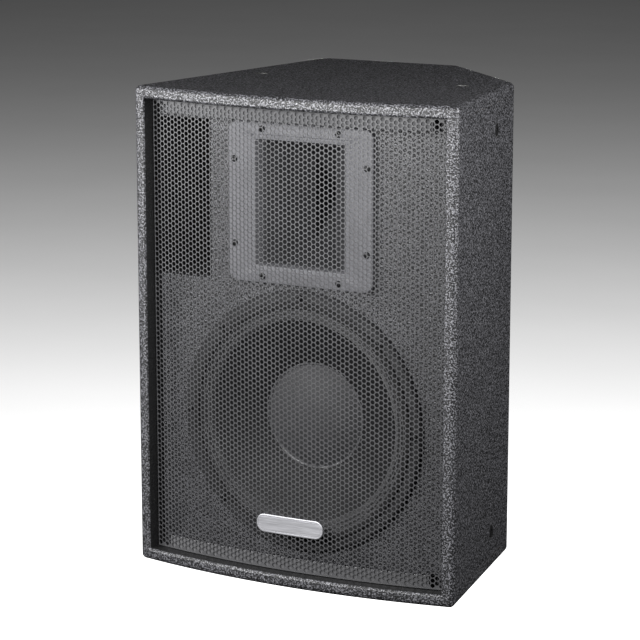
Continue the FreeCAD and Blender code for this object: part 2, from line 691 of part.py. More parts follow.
def make_rigging():
    inserts = []
    screws = []
    holes = []
    slope = math.radians(SIDE_TAPER)
    sites = []
    for side in (-1, 1):
        inward = Vector(-side * math.cos(slope), -math.sin(slope), 0)
        x = side * side_x(RIG_SIDE_Y)
        sites += [(Vector(x, RIG_SIDE_Y, z), inward) for z in RIG_SIDE_Z]
        sites.append((Vector(side * RIG_TOP_X, RIG_TOP_Y, HEIGHT), Vector(0, 0, -1)))
        sites.append((Vector(side * RIG_TOP_X, RIG_TOP_Y, 0), ALONG_Z))
    for base, inward in sites:
        insert, blank, hole = rig_insert(base, inward)
        inserts.append(insert)
        screws.append(blank)
        holes.append(hole)
    keep("rigging_inserts", *inserts)
    keep("rigging_blanking_screws", *screws)
    base = Vector(PULL_BACK_X, DEPTH, PULL_BACK_Z)
    sleeve = Part.makeCylinder(RIG_SLEEVE_R, PANEL, base, Vector(0, -1, 0))
    collar = Part.makeCylinder(14.0, 3.0, base - ALONG_Y * PANEL, Vector(0, -1, 0))
    bore = Part.makeCylinder(PULL_BACK_R, PANEL + 10, base + ALONG_Y, Vector(0, -1, 0))
    keep("pull_back_insert", sleeve.fuse(collar).cut(bore))
    holes.append(Part.makeCylinder(RIG_SLEEVE_R, 60, base + ALONG_Y * 30, Vector(0, -1, 0)))
    return holes


def make_crossover():
    """Passive crossover on the bottom board, behind the pole socket."""
    x0, x1 = -135.0, -25.0
    y0, y1 = 240.0, 330.0
    z = PANEL + 8
    top = z + BOARD_SHEET
    corners = [(x, y) for x in (x0 + 5, x1 - 5) for y in (y0 + 5, y1 - 5)]
    keep("crossover_standoffs", *[upright(3.5, PANEL, z, x, y) for x, y in corners])
    keep("crossover_board", box(x0, x1, y0, y1, z, top))
    coils = [(17.0, x0 + 25, y0 + 62), (13.0, x0 + 70, y0 + 24)]
    keep("crossover_coils", *[
        upright(radius, top, top + 22, x, y).cut(upright(7, top - 1, top + 23, x, y))
        for radius, x, y in coils])
    keep("crossover_capacitors", *[
        Part.makeCylinder(7, 26, Vector(x0 + 12 + i * 16, y0 + 12, top + 7), ALONG_Y)
        for i in range(3)])
    keep("crossover_resistors", *[
        box(x1 - 20, x1 - 10, y, y + 20, top, top + 9) for y in (y0 + 4, y0 + 30)])


def wire_run(points, radius=2.0, bend=14.0):
    """Round wire along straight runs joined by tangent arcs."""
    edges = []
    start = points[0]
    for before, corner, after in zip(points[:-2], points[1:-1], points[2:]):
        into = (corner - before).normalize()
        out = (after - corner).normalize()
        half = into.getAngle(out) / 2
        cut = bend * math.tan(half)
        first = corner - into * cut
        last = corner + out * cut
        inward = (out - into).normalize()
        middle = corner + inward * (bend / math.cos(half) - bend)
        edges.append(Part.makeLine(start, first))
        edges.append(Part.Arc(first, middle, last).toShape())
        start = last
    edges.append(Part.makeLine(start, points[-1]))
    path = Part.Wire(edges)
    heading = (points[1] - points[0]).normalize()
    profile = Part.Wire([Part.makeCircle(radius, points[0], heading)])
    return path.makePipeShell([profile], True, False)


def make_wires(cover_y):
    """Cables from the sockets to the crossover, and from there to the two drivers."""
    top = PANEL + 8 + BOARD_SHEET
    tab_x = PLATE_X - SOCKET_PITCH / 2 + 7
    tab_y = DEPTH - 1.0 - 38
    tab_z = PLATE_Z - 6
    terminal_z = WOOFER_Z + 91.5
    over_brace = 347.0
    input_cable = wire_run([
        Vector(tab_x, tab_y, tab_z), Vector(tab_x, tab_y - 22, tab_z),
        Vector(tab_x, tab_y - 22, top)], bend=12.0)
    woofer_cable = wire_run([
        Vector(-42, 300, top), Vector(-42, 300, over_brace), Vector(-42, 160, over_brace),
        Vector(-9, 112, over_brace), Vector(-9, 112, terminal_z)], bend=16.0)
    driver_cable = wire_run([
        Vector(-30, 270, top), Vector(-30, 270, HORN_Z - 60),
        Vector(-30, cover_y + 8, HORN_Z - 60), Vector(-30, cover_y + 8, HORN_Z - 34)],
        bend=12.0)
    keep("internal_cables", input_cable, woofer_cable, driver_cable)


def build():
    shell = make_shell()
    plate_holes = make_connector_plate()
    socket_holes = make_pole_socket()
    foot_holes = make_feet()
    rig_holes = make_rigging()
    make_boards(shell, Part.makeCompound(plate_holes + socket_holes + foot_holes + rig_holes))
    woofer_pilots = [disc(SCREW_R + HOLE_SLACK, 20, 60, WOOFER_Z + z, x)
                     for x, z in around(8, FRAME_SCREW_R)]
    horn_pilots = [disc(SCREW_R + HOLE_SLACK, 20, 60, HORN_Z + z, x)
                   for x, z in horn_screw_places()]
    make_baffle(Part.makeCompound(woofer_pilots + horn_pilots))
    make_bracing()
    make_grille()
    make_port()
    make_woofer_frame()
    make_woofer_moving()
    make_woofer_soft()
    make_woofer_motor()
    horn_end = make_horn()
    cover_y = make_driver(horn_end)
    make_crossover()
    make_wires(cover_y)


build()
home = Vector(0, -(DEPTH - BOW) / 2, FOOT_HEIGHT)
os.makedirs("parts", exist_ok=True)
for name, shape in parts.items():
    shape.translate(home)
    shape.exportStep("parts/" + name + ".step")
    sizes = shape.BoundBox
    print("%-26s %2d solid  valid %s  z %7.1f %7.1f" % (
        name, len(shape.Solids), shape.isValid(), sizes.ZMin, sizes.ZMax))
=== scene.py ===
import json
import math

import bmesh
import bpy
import numpy as np
from mathutils import Matrix, Vector, noise


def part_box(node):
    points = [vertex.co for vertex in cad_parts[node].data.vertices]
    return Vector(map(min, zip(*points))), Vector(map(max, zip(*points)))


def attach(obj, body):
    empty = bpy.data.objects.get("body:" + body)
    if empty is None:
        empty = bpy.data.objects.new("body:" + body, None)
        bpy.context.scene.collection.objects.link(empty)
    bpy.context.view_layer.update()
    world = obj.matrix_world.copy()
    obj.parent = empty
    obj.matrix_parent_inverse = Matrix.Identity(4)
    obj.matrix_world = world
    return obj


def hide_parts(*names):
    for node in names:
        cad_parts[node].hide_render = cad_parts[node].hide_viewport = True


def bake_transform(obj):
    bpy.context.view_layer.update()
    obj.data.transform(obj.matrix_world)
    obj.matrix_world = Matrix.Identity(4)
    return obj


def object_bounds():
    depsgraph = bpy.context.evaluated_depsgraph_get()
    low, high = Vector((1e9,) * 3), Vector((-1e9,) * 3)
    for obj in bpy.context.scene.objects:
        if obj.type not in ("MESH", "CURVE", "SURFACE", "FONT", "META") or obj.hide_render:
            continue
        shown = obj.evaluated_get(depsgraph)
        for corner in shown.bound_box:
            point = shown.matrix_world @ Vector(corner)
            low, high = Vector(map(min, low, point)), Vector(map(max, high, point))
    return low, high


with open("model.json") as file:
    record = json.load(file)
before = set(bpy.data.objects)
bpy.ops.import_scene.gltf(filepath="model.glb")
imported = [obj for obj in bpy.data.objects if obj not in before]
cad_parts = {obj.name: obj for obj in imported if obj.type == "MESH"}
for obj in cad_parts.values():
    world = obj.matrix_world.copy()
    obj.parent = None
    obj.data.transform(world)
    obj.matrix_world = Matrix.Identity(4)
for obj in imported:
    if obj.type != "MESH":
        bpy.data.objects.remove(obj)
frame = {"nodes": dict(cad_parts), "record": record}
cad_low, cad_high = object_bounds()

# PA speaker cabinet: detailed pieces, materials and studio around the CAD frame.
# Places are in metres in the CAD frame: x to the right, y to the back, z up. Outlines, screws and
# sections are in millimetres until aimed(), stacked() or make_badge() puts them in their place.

MM = 0.001
PANEL = 15 * MM
PAINT_LEVEL = 0.045        # mean reflectance of the sprayed paint
SIDE_LEAN = 9.09           # degrees that each side leans in towards the back
TURN = 2 * math.pi
FRONT = Vector((0, -1, 0))
BACK = Vector((0, 1, 0))
RIGHT = Vector((1, 0, 0))
UP = Vector((0, 0, 1))
DOWN = Vector((0, 0, -1))


def side_out(side):
    """Outward direction of the right side (1) or of the left side (-1)."""
    return Vector((side * math.cos(math.radians(SIDE_LEAN)), math.sin(math.radians(SIDE_LEAN)), 0))


MATERIAL_OF = {part["node"]: part["material_slot"] for part in frame["record"]["subparts"]}
BODIES = frame["record"]["behaviour"]["bodies"]
BODY_OF = {node: body for body, nodes in BODIES.items() for node in nodes}


# ---- material building ----

class Look:
    """One procedural material, with short ways to add the nodes that give it detail."""

    def __init__(self, name, roughness=0.5, metallic=0.0, **sockets):
        self.name = name
        self.material = bpy.data.materials.new(name)
        self.material.use_nodes = True
        self.tree = self.material.node_tree
        self.shader = self.tree.nodes["Principled BSDF"]
        self.shader.inputs["Roughness"].default_value = roughness
        self.shader.inputs["Metallic"].default_value = metallic
        for socket, value in sockets.items():
            self.shader.inputs[socket.replace("_", " ")].default_value = value
        self.place = self.node("ShaderNodeTexCoord", "Object", {})

    def feed(self, socket, value):
        if isinstance(value, bpy.types.NodeSocket):
            self.tree.links.new(value, socket)
        else:
            socket.default_value = value

    def node(self, kind, output, inputs, **settings):
        """One output of a new shader node."""
        made = self.tree.nodes.new(kind)
        for setting, value in settings.items():
            setattr(made, setting, value)
        for socket, value in inputs.items():
            self.feed(made.inputs[socket], value)
        return made.outputs[output]

    def maths(self, operation, *values):
        return self.node("ShaderNodeMath", 0, dict(enumerate(values)), operation=operation)

    def stretched(self, x, y, z):
        """The place on the piece, scaled along each axis."""
        return self.node("ShaderNodeMapping", "Vector", {"Vector": self.place, "Scale": (x, y, z)})

    def along(self, direction):
        """How far the place lies along a direction."""
        return self.node("ShaderNodeVectorMath", "Value", {0: self.place, 1: direction},
                         operation="DOT_PRODUCT")

    def noise(self, per_metre, detail=2.0, rough=0.5, at=None):
        return self.node("ShaderNodeTexNoise", "Fac", {
            "Vector": at or self.place, "Scale": per_metre, "Detail": detail, "Roughness": rough})

    def cells(self, per_metre, feature, randomness=1.0):
        return self.node("ShaderNodeTexVoronoi", "Distance", {
            "Vector": self.place, "Scale": per_metre, "Randomness": randomness}, feature=feature)

    def bands(self, per_metre, axis, distortion):
        return self.node("ShaderNodeTexWave", "Fac", {
            "Vector": self.place, "Scale": per_metre, "Distortion": distortion}, bands_direction=axis)

    def levels(self, value, low, high, to_low=0.0, to_high=1.0):
        return self.node("ShaderNodeMapRange", "Result", {
            "Value": value, "From Min": low, "From Max": high, "To Min": to_low, "To Max": to_high})

    def colours(self, share, *stops):
        """A colour ramp over (position, colour) stops."""
        made = self.node("ShaderNodeValToRGB", "Color", {"Fac": share})
        ramp = made.node.color_ramp
        while len(ramp.elements) < len(stops):
            ramp.elements.new(0.5)
        for element, (position, colour) in zip(ramp.elements, stops):
            element.position = position
            element.color = (*colour, 1.0)
        return made

    def blended(self, share, first, second):
        return self.node("ShaderNodeMix", 2, {0: share, 6: opaque(first), 7: opaque(second)},
                         data_type="RGBA")

    def colour(self, value):
        self.feed(self.shader.inputs["Base Color"], value)

    def colour_so_far(self):
        return self.shader.inputs["Base Color"].links[0].from_socket

    def two_tones(self, share, dark, light):
        self.colour(self.colours(share, (0.3, dark), (0.7, light)))

    def gloss(self, value):
        self.feed(self.shader.inputs["Roughness"], value)

    def gloss_over(self, share, low, high):
        """Roughness from low to high over the middle of a noise."""
        self.gloss(self.levels(share, 0.3, 0.7, low, high))

    def bump(self, height, depth):
        """Relief of that depth in millimetres."""
        relief = self.node("ShaderNodeBump", "Normal", {"Distance": depth * MM, "Height": height})
        self.feed(self.shader.inputs["Normal"], relief)


def opaque(colour):
    """A colour with full alpha; a socket stays as it is."""
    return colour if isinstance(colour, bpy.types.NodeSocket) else (*colour, 1)


def grey(level, blue=0.05):
    """Grey with a little more blue than red and green."""
    return (level, level, level * (1 + blue))


def grained(name, dark, light, grain, depth, rough, metallic=0.0):
    """Moulded, cast or coated surface: cloudy colour, fine grain and uneven gloss."""
    look = Look(name, metallic=metallic)
    cloud = look.noise(35, 4, 0.6)
    fine = look.noise(grain, 2, 0.6)
    look.two_tones(cloud, dark, light)
    look.gloss_over(look.noise(90, 3), *rough)
    look.bump(fine, depth)
    return look


def doped(name, dark, light, grain, depth, rough, specular):
    """Coated pulp or glue: one noise gives the tone, the gloss and the relief."""
    look = Look(name, Specular_IOR_Level=specular)
    share = look.noise(*grain)
    look.two_tones(share, dark, light)
    look.gloss_over(share, *rough)
    look.bump(share, depth)
    return look


# ---- materials ----

def spatter_paint(name, level):
    """Thick sprayed texture paint: rounded crumbs, glossier on top; its colour follows the relief, with
    painted shade in the hollows and painted highlights on the tops of the crumbs.
    """
    look = Look(name, Specular_IOR_Level=0.6)
    crumbs = look.noise(520, 1, 0.5)
    peel = look.noise(1100, 2, 0.6)
    height = look.maths("MULTIPLY_ADD", peel, 0.25, crumbs)
    tone = look.levels(look.noise(14, 3, 0.6), 0.35, 0.65)
    # Painted shade and highlight: hollows near black, tops of the crumbs four times as bright as the paint.
    crumb_shade_and_highlight = look.colours(look.levels(height, 0.52, 0.76), (0.15, grey(0.04 * level, 0.15)),
                         (0.50, grey(0.65 * level, 0.12)), (0.90, grey(4.0 * level, 0.08)))
    look.colour(look.blended(look.maths("MULTIPLY", tone, 0.1), crumb_shade_and_highlight, grey(level, 0.12)))
    look.gloss(look.levels(height, 0.45, 0.8, 0.60, 0.28))
    look.bump(height, 0.9)
    return look


def wood_grain(look):
    """(colour, relief) of rotary-cut plywood."""
    grain = look.noise(24, 6, 0.7, at=look.stretched(1.0, 1.0, 9.0))
    pores = look.noise(420, 2, 0.6, at=look.stretched(1.0, 1.0, 0.12))
    colour = look.colours(grain, (0.25, (0.30, 0.19, 0.10)), (0.5, (0.42, 0.28, 0.16)),
                          (0.75, (0.52, 0.37, 0.22)))
    return colour, pores


def bare_wood():
    look = Look("bare_wood")
    colour, pores = wood_grain(look)
    look.colour(colour)
    look.gloss_over(pores, 0.6, 0.85)
    look.bump(pores, 0.15)
    return look


def board_look(node, outward, shade_until):
    """Spatter paint; on the inside, near-black painted shade in front of the given depth and bare plywood
    behind it.
    """
    look = spatter_paint("paint_" + node, PAINT_LEVEL)
    outer = max(outward.dot(v.co) for v in frame["nodes"][node].data.vertices)
    depth = look.maths("SUBTRACT", outer, look.along(outward))
    inside = look.maths("GREATER_THAN", depth, PANEL - 0.02 * MM)
    behind = look.maths("GREATER_THAN", look.along(BACK), shade_until)
    paint = look.colour_so_far()
    # Painted shade: the inner faces in front of that depth are near black, standing for the shade in the
    # recess and the port.
    inner_shade_and_wood = look.blended(behind, grey(0.008), wood_grain(look)[0])
    look.colour(look.blended(inside, paint, inner_shade_and_wood))
    return look


def grille_paint():
    """Powder-coated steel: satin black with a very fine texture."""
    look = Look("grille_paint", Specular_IOR_Level=0.6)
    cloud = look.noise(25, 3)
    look.two_tones(cloud, grey(0.062), grey(0.082))
    look.gloss_over(look.noise(500, 2), 0.30, 0.48)
    look.bump(look.noise(1600, 2, 0.6), 0.06)
    return look


def horn_plastic():
    """Grey moulding, matt, darkened by painted shade from 1 mm to 12 mm behind its front."""
    look = grained("horn_plastic", grey(0.150, 0.08), grey(0.180, 0.08), 900, 0.12, (0.42, 0.58))
    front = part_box("horn")[0].y
    # Painted shade: the inside of the mouth goes towards near black with depth.
    painted_throat_shade = look.levels(look.along(BACK), front + 1 * MM, front + 12 * MM, 0.0, 0.85)
    look.colour(look.blended(painted_throat_shade, look.colour_so_far(), grey(0.012)))
    return look


def strip_felt():
    look = Look("strip_felt", 0.95, Sheen_Weight=0.6)
    fibre = look.noise(1500, 4, 0.7, at=look.stretched(1, 1, 2.5))
    look.two_tones(fibre, grey(0.05), grey(0.12))
    look.bump(fibre, 0.4)
    return look


def badge_metal():
    """Brushed nickel-silver plate with a clear lacquer."""
    look = Look("badge_metal", metallic=0.75, Coat_Weight=0.2, Coat_Roughness=0.25)
    brushed = look.noise(900, 3, 0.7, at=look.stretched(0.03, 1, 1))
    look.two_tones(brushed, grey(0.46), grey(0.64))
    look.gloss_over(brushed, 0.45, 0.6)
    look.bump(brushed, 0.03)
    return look


def damping_felt():
    look = Look("damping_felt", 0.95, Sheen_Weight=0.4)
    fibre = look.noise(700, 6, 0.75)
    lump = look.noise(60, 3)
    tint = look.blended(look.levels(lump, 0.35, 0.65), (0.34, 0.33, 0.31), (0.52, 0.51, 0.49))
    look.colour(look.blended(look.levels(fibre, 0.35, 0.7), tint, (0.72, 0.71, 0.69)))
    look.bump(fibre, 1.2)
    return look


def cone_paper():
    """Pressed pulp, dyed black, with fibres and a soft sheen."""
    look = Look("cone_paper", Specular_IOR_Level=0.2)
    pulp = look.noise(260, 5, 0.7)
    fibre = look.cells(900, feature="F1")
    look.two_tones(pulp, grey(0.009), grey(0.018))
    look.gloss_over(pulp, 0.45, 0.65)
    look.bump(look.maths("ADD", pulp, look.maths("MULTIPLY", fibre, 0.5)), 0.25)
    return look


def woven_cloth(name, dark, light, thread, depth):
    """Doped cloth: two crossed sets of threads."""
    look = Look(name, Sheen_Weight=0.2)
    warp = look.bands(thread, "X", 0.4)
    weft = look.bands(thread, "Z", 0.4)
    weave = look.maths("MAXIMUM", warp, weft)
    stain = look.noise(40, 4)
    base = look.colours(stain, (0.3, dark), (0.7, light))
    look.colour(look.blended(look.levels(weave, 0.4, 1.0, 0.0, 0.5), base, tuple(1.8 * c for c in light)))
    look.gloss_over(stain, 0.55, 0.8)
    look.bump(weave, depth)
    return look


def wound_copper():
    look = Look("copper", metallic=1.0, Coat_Weight=0.6, Coat_Roughness=0.12)
    tarnish = look.noise(120, 4)
    look.two_tones(tarnish, (0.62, 0.25, 0.11), (0.85, 0.42, 0.22))
    look.gloss_over(tarnish, 0.22, 0.42)
    look.bump(look.noise(900, 2), 0.05)
    return look


def circuit_board():
    look = Look("circuit_board", Coat_Weight=0.5, Coat_Roughness=0.2)
    tracks = look.cells(70, feature="DISTANCE_TO_EDGE", randomness=0.35)
    lines = look.levels(tracks, 0.03, 0.06)
    look.colour(look.blended(lines, (0.10, 0.28, 0.12), (0.035, 0.15, 0.06)))
    look.gloss_over(look.noise(200, 2), 0.3, 0.5)
    look.bump(lines, 0.05)
    return look


def make_looks():
    """One material for each material slot of the record, by its name."""
    looks = [
        # The baffle's paint is the cabinet's at 0.85 of its brightness: painted shade behind the grille.
        spatter_paint("cabinet_paint", PAINT_LEVEL), spatter_paint("baffle_paint", 0.85 * PAINT_LEVEL),
        bare_wood(), grille_paint(), strip_felt(), badge_metal(), damping_felt(), horn_plastic(),
        # Foam rubber: black, and darker still as painted shade in the gaps where the gaskets sit.
        grained("foam_rubber", grey(0.007), grey(0.014), 700, 0.5, (0.8, 0.95)),
        grained("frame_paint", grey(0.02), grey(0.032), 700, 0.15, (0.35, 0.5)),
        cone_paper(), woven_cloth("surround_cloth", grey(0.018), grey(0.034), 500, 0.15),
        woven_cloth("spider_cloth", (0.30, 0.17, 0.06), (0.45, 0.28, 0.12), 420, 0.2),
        grained("former_film", (0.28, 0.17, 0.07), (0.36, 0.24, 0.11), 300, 0.05, (0.2, 0.35)),
        wound_copper(), grained("ferrite", grey(0.035), grey(0.06), 1200, 0.12, (0.55, 0.75)),
        grained("plated_steel", (0.50, 0.51, 0.50), (0.66, 0.66, 0.63), 800, 0.04, (0.25, 0.42), 1.0),
        grained("black_screw", grey(0.022), grey(0.04), 1100, 0.05, (0.25, 0.42), 0.6),
        grained("diaphragm_film", (0.45, 0.33, 0.16), (0.56, 0.43, 0.22), 250, 0.04, (0.18, 0.3)),
        grained("black_plastic", grey(0.022), grey(0.035), 1000, 0.08, (0.35, 0.52)),
        grained("brass_contact", (0.72, 0.52, 0.22), (0.86, 0.66, 0.32), 600, 0.03, (0.2, 0.35), 1.0),
        grained("rubber", grey(0.018), grey(0.032), 800, 0.2, (0.65, 0.85)), circuit_board(),
        grained("capacitor_film", (0.50, 0.30, 0.05), (0.62, 0.40, 0.08), 300, 0.05, (0.25, 0.4)),
        grained("resistor_ceramic", (0.62, 0.61, 0.57), (0.74, 0.73, 0.69), 900, 0.15, (0.6, 0.8)),
        grained("cable_jacket", (0.25, 0.02, 0.02), (0.34, 0.04, 0.03), 500, 0.1, (0.35, 0.5)),
    ]
    return {look.name: look for look in looks}


LOOKS = make_looks()


# ---- mesh building ----

def joined(*shapes):
    """Several (points, faces) shapes as one."""
    points, faces = [], []
    for more_points, more_faces in shapes:
        first = len(points)
        points += [tuple(p) for p in more_points]
        faces += [[i + first for i in face] for face in more_faces]
    return points, faces


def skinned(loops, around=True, along=False):
    """Quads between loops of equally many points; along joins the last loop to the first."""
    count = len(loops[0])
    points = [p for loop in loops for p in loop]
    faces = []
    rows = len(loops) if along else len(loops) - 1
    for i in range(rows):
        here = i * count
        there = ((i + 1) % len(loops)) * count
        for j in range(count if around else count - 1):
            k = (j + 1) % count
            faces.append([here + j, here + k, there + k, there + j])
    return points, faces


def turned(profile, segments=96, start=0.0, sweep=TURN, closed=True):
    """Outline of (radius, height) points turned about +Z; its ends are capped if it isn't a full turn."""
    full = sweep > TURN - 1e-6
    steps = segments if full else segments + 1
    angles = [start + sweep * i / segments for i in range(steps)]
    loops = [[(r * math.cos(a), r * math.sin(a), h) for a in angles] for r, h in profile]
    points, faces = skinned(loops, around=full, along=closed)
    if not full:
        faces.append([i * steps for i in range(len(profile))][::-1])
        faces.append([i * steps + steps - 1 for i in range(len(profile))])
    return points, faces


def shares(steps):
    """Shares from 0 to 1 in equal steps."""
    return [i / steps for i in range(steps + 1)]


def thickened(line, skin):
    """Closed outline of a sheet: a line of (radius, y) points, and its other face that far behind."""
    return line + [(r, y + skin) for r, y in reversed(line)]


def dome(rim, rise, steps):
    """(radius, drop) points from the top of a dome out to its rim."""
    ball = (rim ** 2 + rise ** 2) / (2 * rise)
    return [(rim * t, ball - math.sqrt(ball ** 2 - (rim * t) ** 2)) for t in shares(steps)]


def aimed(shape, centre, direction=UP):
    """A shape in millimetres put in its place: its own +Z along direction and its origin at centre."""
    turn = direction.to_track_quat("Z", "Y").to_matrix().to_4x4()
    place = Matrix.Translation(Vector(centre)) @ turn @ Matrix.Scale(MM, 4)
    return [tuple(place @ Vector(p)) for p in shape[0]], shape[1]


def piece(name, shape, node=None, look=None, body=None, sharp=35.0):
    """One mesh object riding on a body; it stands for node, and takes its body, slot and look from it."""
    mesh = bpy.data.meshes.new(name)
    mesh.from_pydata([tuple(p) for p in shape[0]], [], [list(f) for f in shape[1]])
    work = bmesh.new()
    work.from_mesh(mesh)
    bmesh.ops.remove_doubles(work, verts=work.verts, dist=1e-6)
    bmesh.ops.dissolve_degenerate(work, edges=work.edges, dist=1e-7)
    bmesh.ops.recalc_face_normals(work, faces=work.faces)
    work.to_mesh(mesh)
    work.free()
    mesh.shade_smooth()
    mesh.set_sharp_from_angle(angle=math.radians(sharp))
    made = bpy.data.objects.new(name, mesh)
    bpy.context.scene.collection.objects.link(made)
    mesh.materials.append((look or LOOKS[MATERIAL_OF[node]]).material)
    if node:
        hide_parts(node)
    if body != "blend":
        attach(made, body or BODY_OF[node])
    return made


def round_node(node):
    """Centre on the axis in metres; outer radius, front and back of a round CAD node in millimetres."""
    low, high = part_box(node)
    return on_axis(low, high), (high.x - low.x) / 2 / MM, low.y / MM, high.y / MM


def spun(name, outline, node, segments=128, look=None, body=None, sharp=30.0, closed=True):
    """Piece turned from (radius, y) points about the axis of the round CAD node that it stands for."""
    shape = aimed(turned(outline, segments, closed=closed), round_node(node)[0], BACK)
    return piece(name, shape, node, look, body, sharp)


def solids_of(node):
    """(lowest, highest) corners of each separate solid of a CAD node."""
    work = bmesh.new()
    work.from_mesh(frame["nodes"][node].data)
    bmesh.ops.remove_doubles(work, verts=work.verts, dist=2e-6)
    left = set(work.verts)
    found = []
    while left:
        group = [left.pop()]
        for vert in group:
            for edge in vert.link_edges:
                other = edge.other_vert(vert)
                if other in left:
                    left.discard(other)
                    group.append(other)
        co = np.array([v.co for v in group])
        found.append((Vector(co.min(0)), Vector(co.max(0))))
    work.free()
    return sorted(found, key=lambda box: tuple(round(c, 5) for c in box[0]))


def middle(box):
    """Centre of a box of (lowest, highest) corners."""
    return (box[0] + box[1]) / 2


def underside(low, high):
    """Middle of the bottom of a box."""
    return (low.x + high.x) / 2, (low.y + high.y) / 2, low.z


def on_axis(low, high, y=0):
    """Point at depth y on the axis of a box that faces the front."""
    return Vector(((low.x + high.x) / 2, y, (low.z + high.z) / 2))


# ---- grille ----

COLUMNS = 73
ROW_PITCH = 6.06 * MM
HOLE_RADIUS = 2.68 * MM
HOLE_SIDES = 12
SHEET = 1.5 * MM           # CAD sheet that the grille is set into
THIN_SHEET = 0.8 * MM      # what the eye sees of it at a hole


def grille_arc():
    """Radius of the front of the bowed sheet, the y of its axis, and half the length of its arc."""
    low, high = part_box("grille")
    sag = high.y - low.y - SHEET
    back_radius = (high.x ** 2 + sag ** 2) / (2 * sag)
    radius = back_radius + SHEET
    return radius, low.y + radius, radius * math.asin(high.x / back_radius)


def make_grille():
    """Bowed steel sheet, punched with staggered columns of round holes, in two halves for size."""
    low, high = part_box("grille")
    radius, centre_y, half_arc = grille_arc()
    pitch = (2 * half_arc - 1.2 * MM) / COLUMNS
    rows = int((high.z - low.z - 1.0 * MM) / ROW_PITCH)
    edge_x = -COLUMNS * pitch / 2
    base_z = (low.z + high.z) / 2 - rows * ROW_PITCH / 2
    split = rows // 2 * 2
    angles = [TURN * (k + 0.5) / HOLE_SIDES for k in range(HOLE_SIDES)]
    rim = [(HOLE_RADIUS * math.cos(a), HOLE_RADIUS * math.sin(a)) for a in angles]

    def bent(flat, front):
        """Points (along the sheet, height) laid on the front or back arc."""
        flat = np.asarray(flat)
        angle = flat[:, 0] / radius
        r = radius if front else radius - THIN_SHEET
        return np.column_stack([r * np.sin(angle), centre_y - r * np.cos(angle), flat[:, 1]])

    def half_sheet(name, first, last, bottom, top):
        """Cells between two borders given in half rows for each column, out to bottom and top."""
        flat = []
        index = {}

        def corner(i, j):
            """Lattice point i columns across and j half rows up."""
            if (i, j) not in index:
                index[(i, j)] = len(flat)
                flat.append((edge_x + i * pitch, base_z + j * ROW_PITCH / 2))
            return index[(i, j)]

        def added(x, z):
            flat.append((x, z))
            return len(flat) - 1

        def border(height_of):
            """Lattice points along the lower or upper border, following its steps."""
            run = []
            for i in range(COLUMNS):
                for point in (corner(i, height_of(i)), corner(i + 1, height_of(i))):
                    if not run or run[-1] != point:
                        run.append(point)
            return run

        faces = []
        holes = []
        for i in range(COLUMNS):
            j = first(i)
            while j < last(i):
                if (i + j) % 2 or j + 2 > last(i):
                    faces.append([corner(i, j), corner(i + 1, j), corner(i + 1, j + 1), corner(i, j + 1)])
                    j += 1
                    continue
                cell = [corner(i, j), corner(i + 1, j), corner(i + 1, j + 1), corner(i + 1, j + 2),
                        corner(i, j + 2), corner(i, j + 1)]
                x, z = edge_x + (i + 0.5) * pitch, base_z + (j + 1) * ROW_PITCH / 2
                hole = [added(x + u, z + v) for u, v in rim]
                holes.append(hole)
                faces += around_hole(cell, hole, flat)
                j += 2
        low_run, high_run = border(first), border(last)
        ends = []
        for column, i, x in ((0, 0, -half_arc), (COLUMNS - 1, COLUMNS, half_arc)):
            side = [corner(i, j) for j in range(first(column), last(column) + 1)]
            ends.append([added(x, flat[p][1]) for p in side])
            faces += strip(side, ends[-1])
        low_run = [ends[0][0]] + low_run + [ends[1][0]]
        high_run = [ends[0][-1]] + high_run + [ends[1][-1]]
        run, z = (high_run, top) if bottom is None else (low_run, bottom)
        outer = [added(flat[p][0], z) for p in run]
        faces += strip(run, outer)
        run[:] = outer
        count = len(flat)
        loops = [hole + hole[:1] for hole in holes] + [low_run, high_run]
        loops += [[low_run[k]] + ends[k] + [high_run[k]] for k in (0, -1)]
        walls = []
        for loop in loops:
            walls += strip(loop, [p + count for p in loop])
        faces += [[i + count for i in face[::-1]] for face in faces] + walls
        points = np.vstack([bent(flat, True), bent(flat, False)])
        return piece(name, (points, faces), "grille", sharp=50)

    def seam(i):
        return split + i % 2

    half_sheet("grille_lower", lambda i: 0, seam, low.z, None)
    half_sheet("grille_upper", seam, lambda i: 2 * rows, None, high.z)


def strip(low, high):
    """Quads between two runs of equally many points."""
    return [[a, b, d, c] for a, b, c, d in zip(low, low[1:], high, high[1:]) if a != b]


def around_hole(outer, hole, flat):
    """Triangles between a cell's outline and its hole, both running the same way round."""
    mid_x, mid_z = (sum(flat[p][k] for p in hole) / len(hole) for k in (0, 1))

    def angle_of(p):
        return math.atan2(flat[p][1] - mid_z, flat[p][0] - mid_x)

    first = angle_of(outer[0])

    def turned_by(p):
        return (angle_of(p) - first) % TURN

    inner = sorted(hole, key=turned_by)
    outer_turns = [turned_by(p) for p in outer] + [TURN]
    inner_turns = [turned_by(p) for p in inner] + [TURN + turned_by(inner[0])]
    faces = []
    i = j = 0
    while i < len(outer) or j < len(inner):
        o, n = outer[i % len(outer)], inner[j % len(inner)]
        if i < len(outer) and (j >= len(inner) or outer_turns[i + 1] <= inner_turns[j + 1]):
            faces.append([o, outer[(i + 1) % len(outer)], n])
            i += 1
        else:
            faces.append([o, inner[(j + 1) % len(inner)], n])
            j += 1
    return faces


# ---- carried-over CAD nodes ----

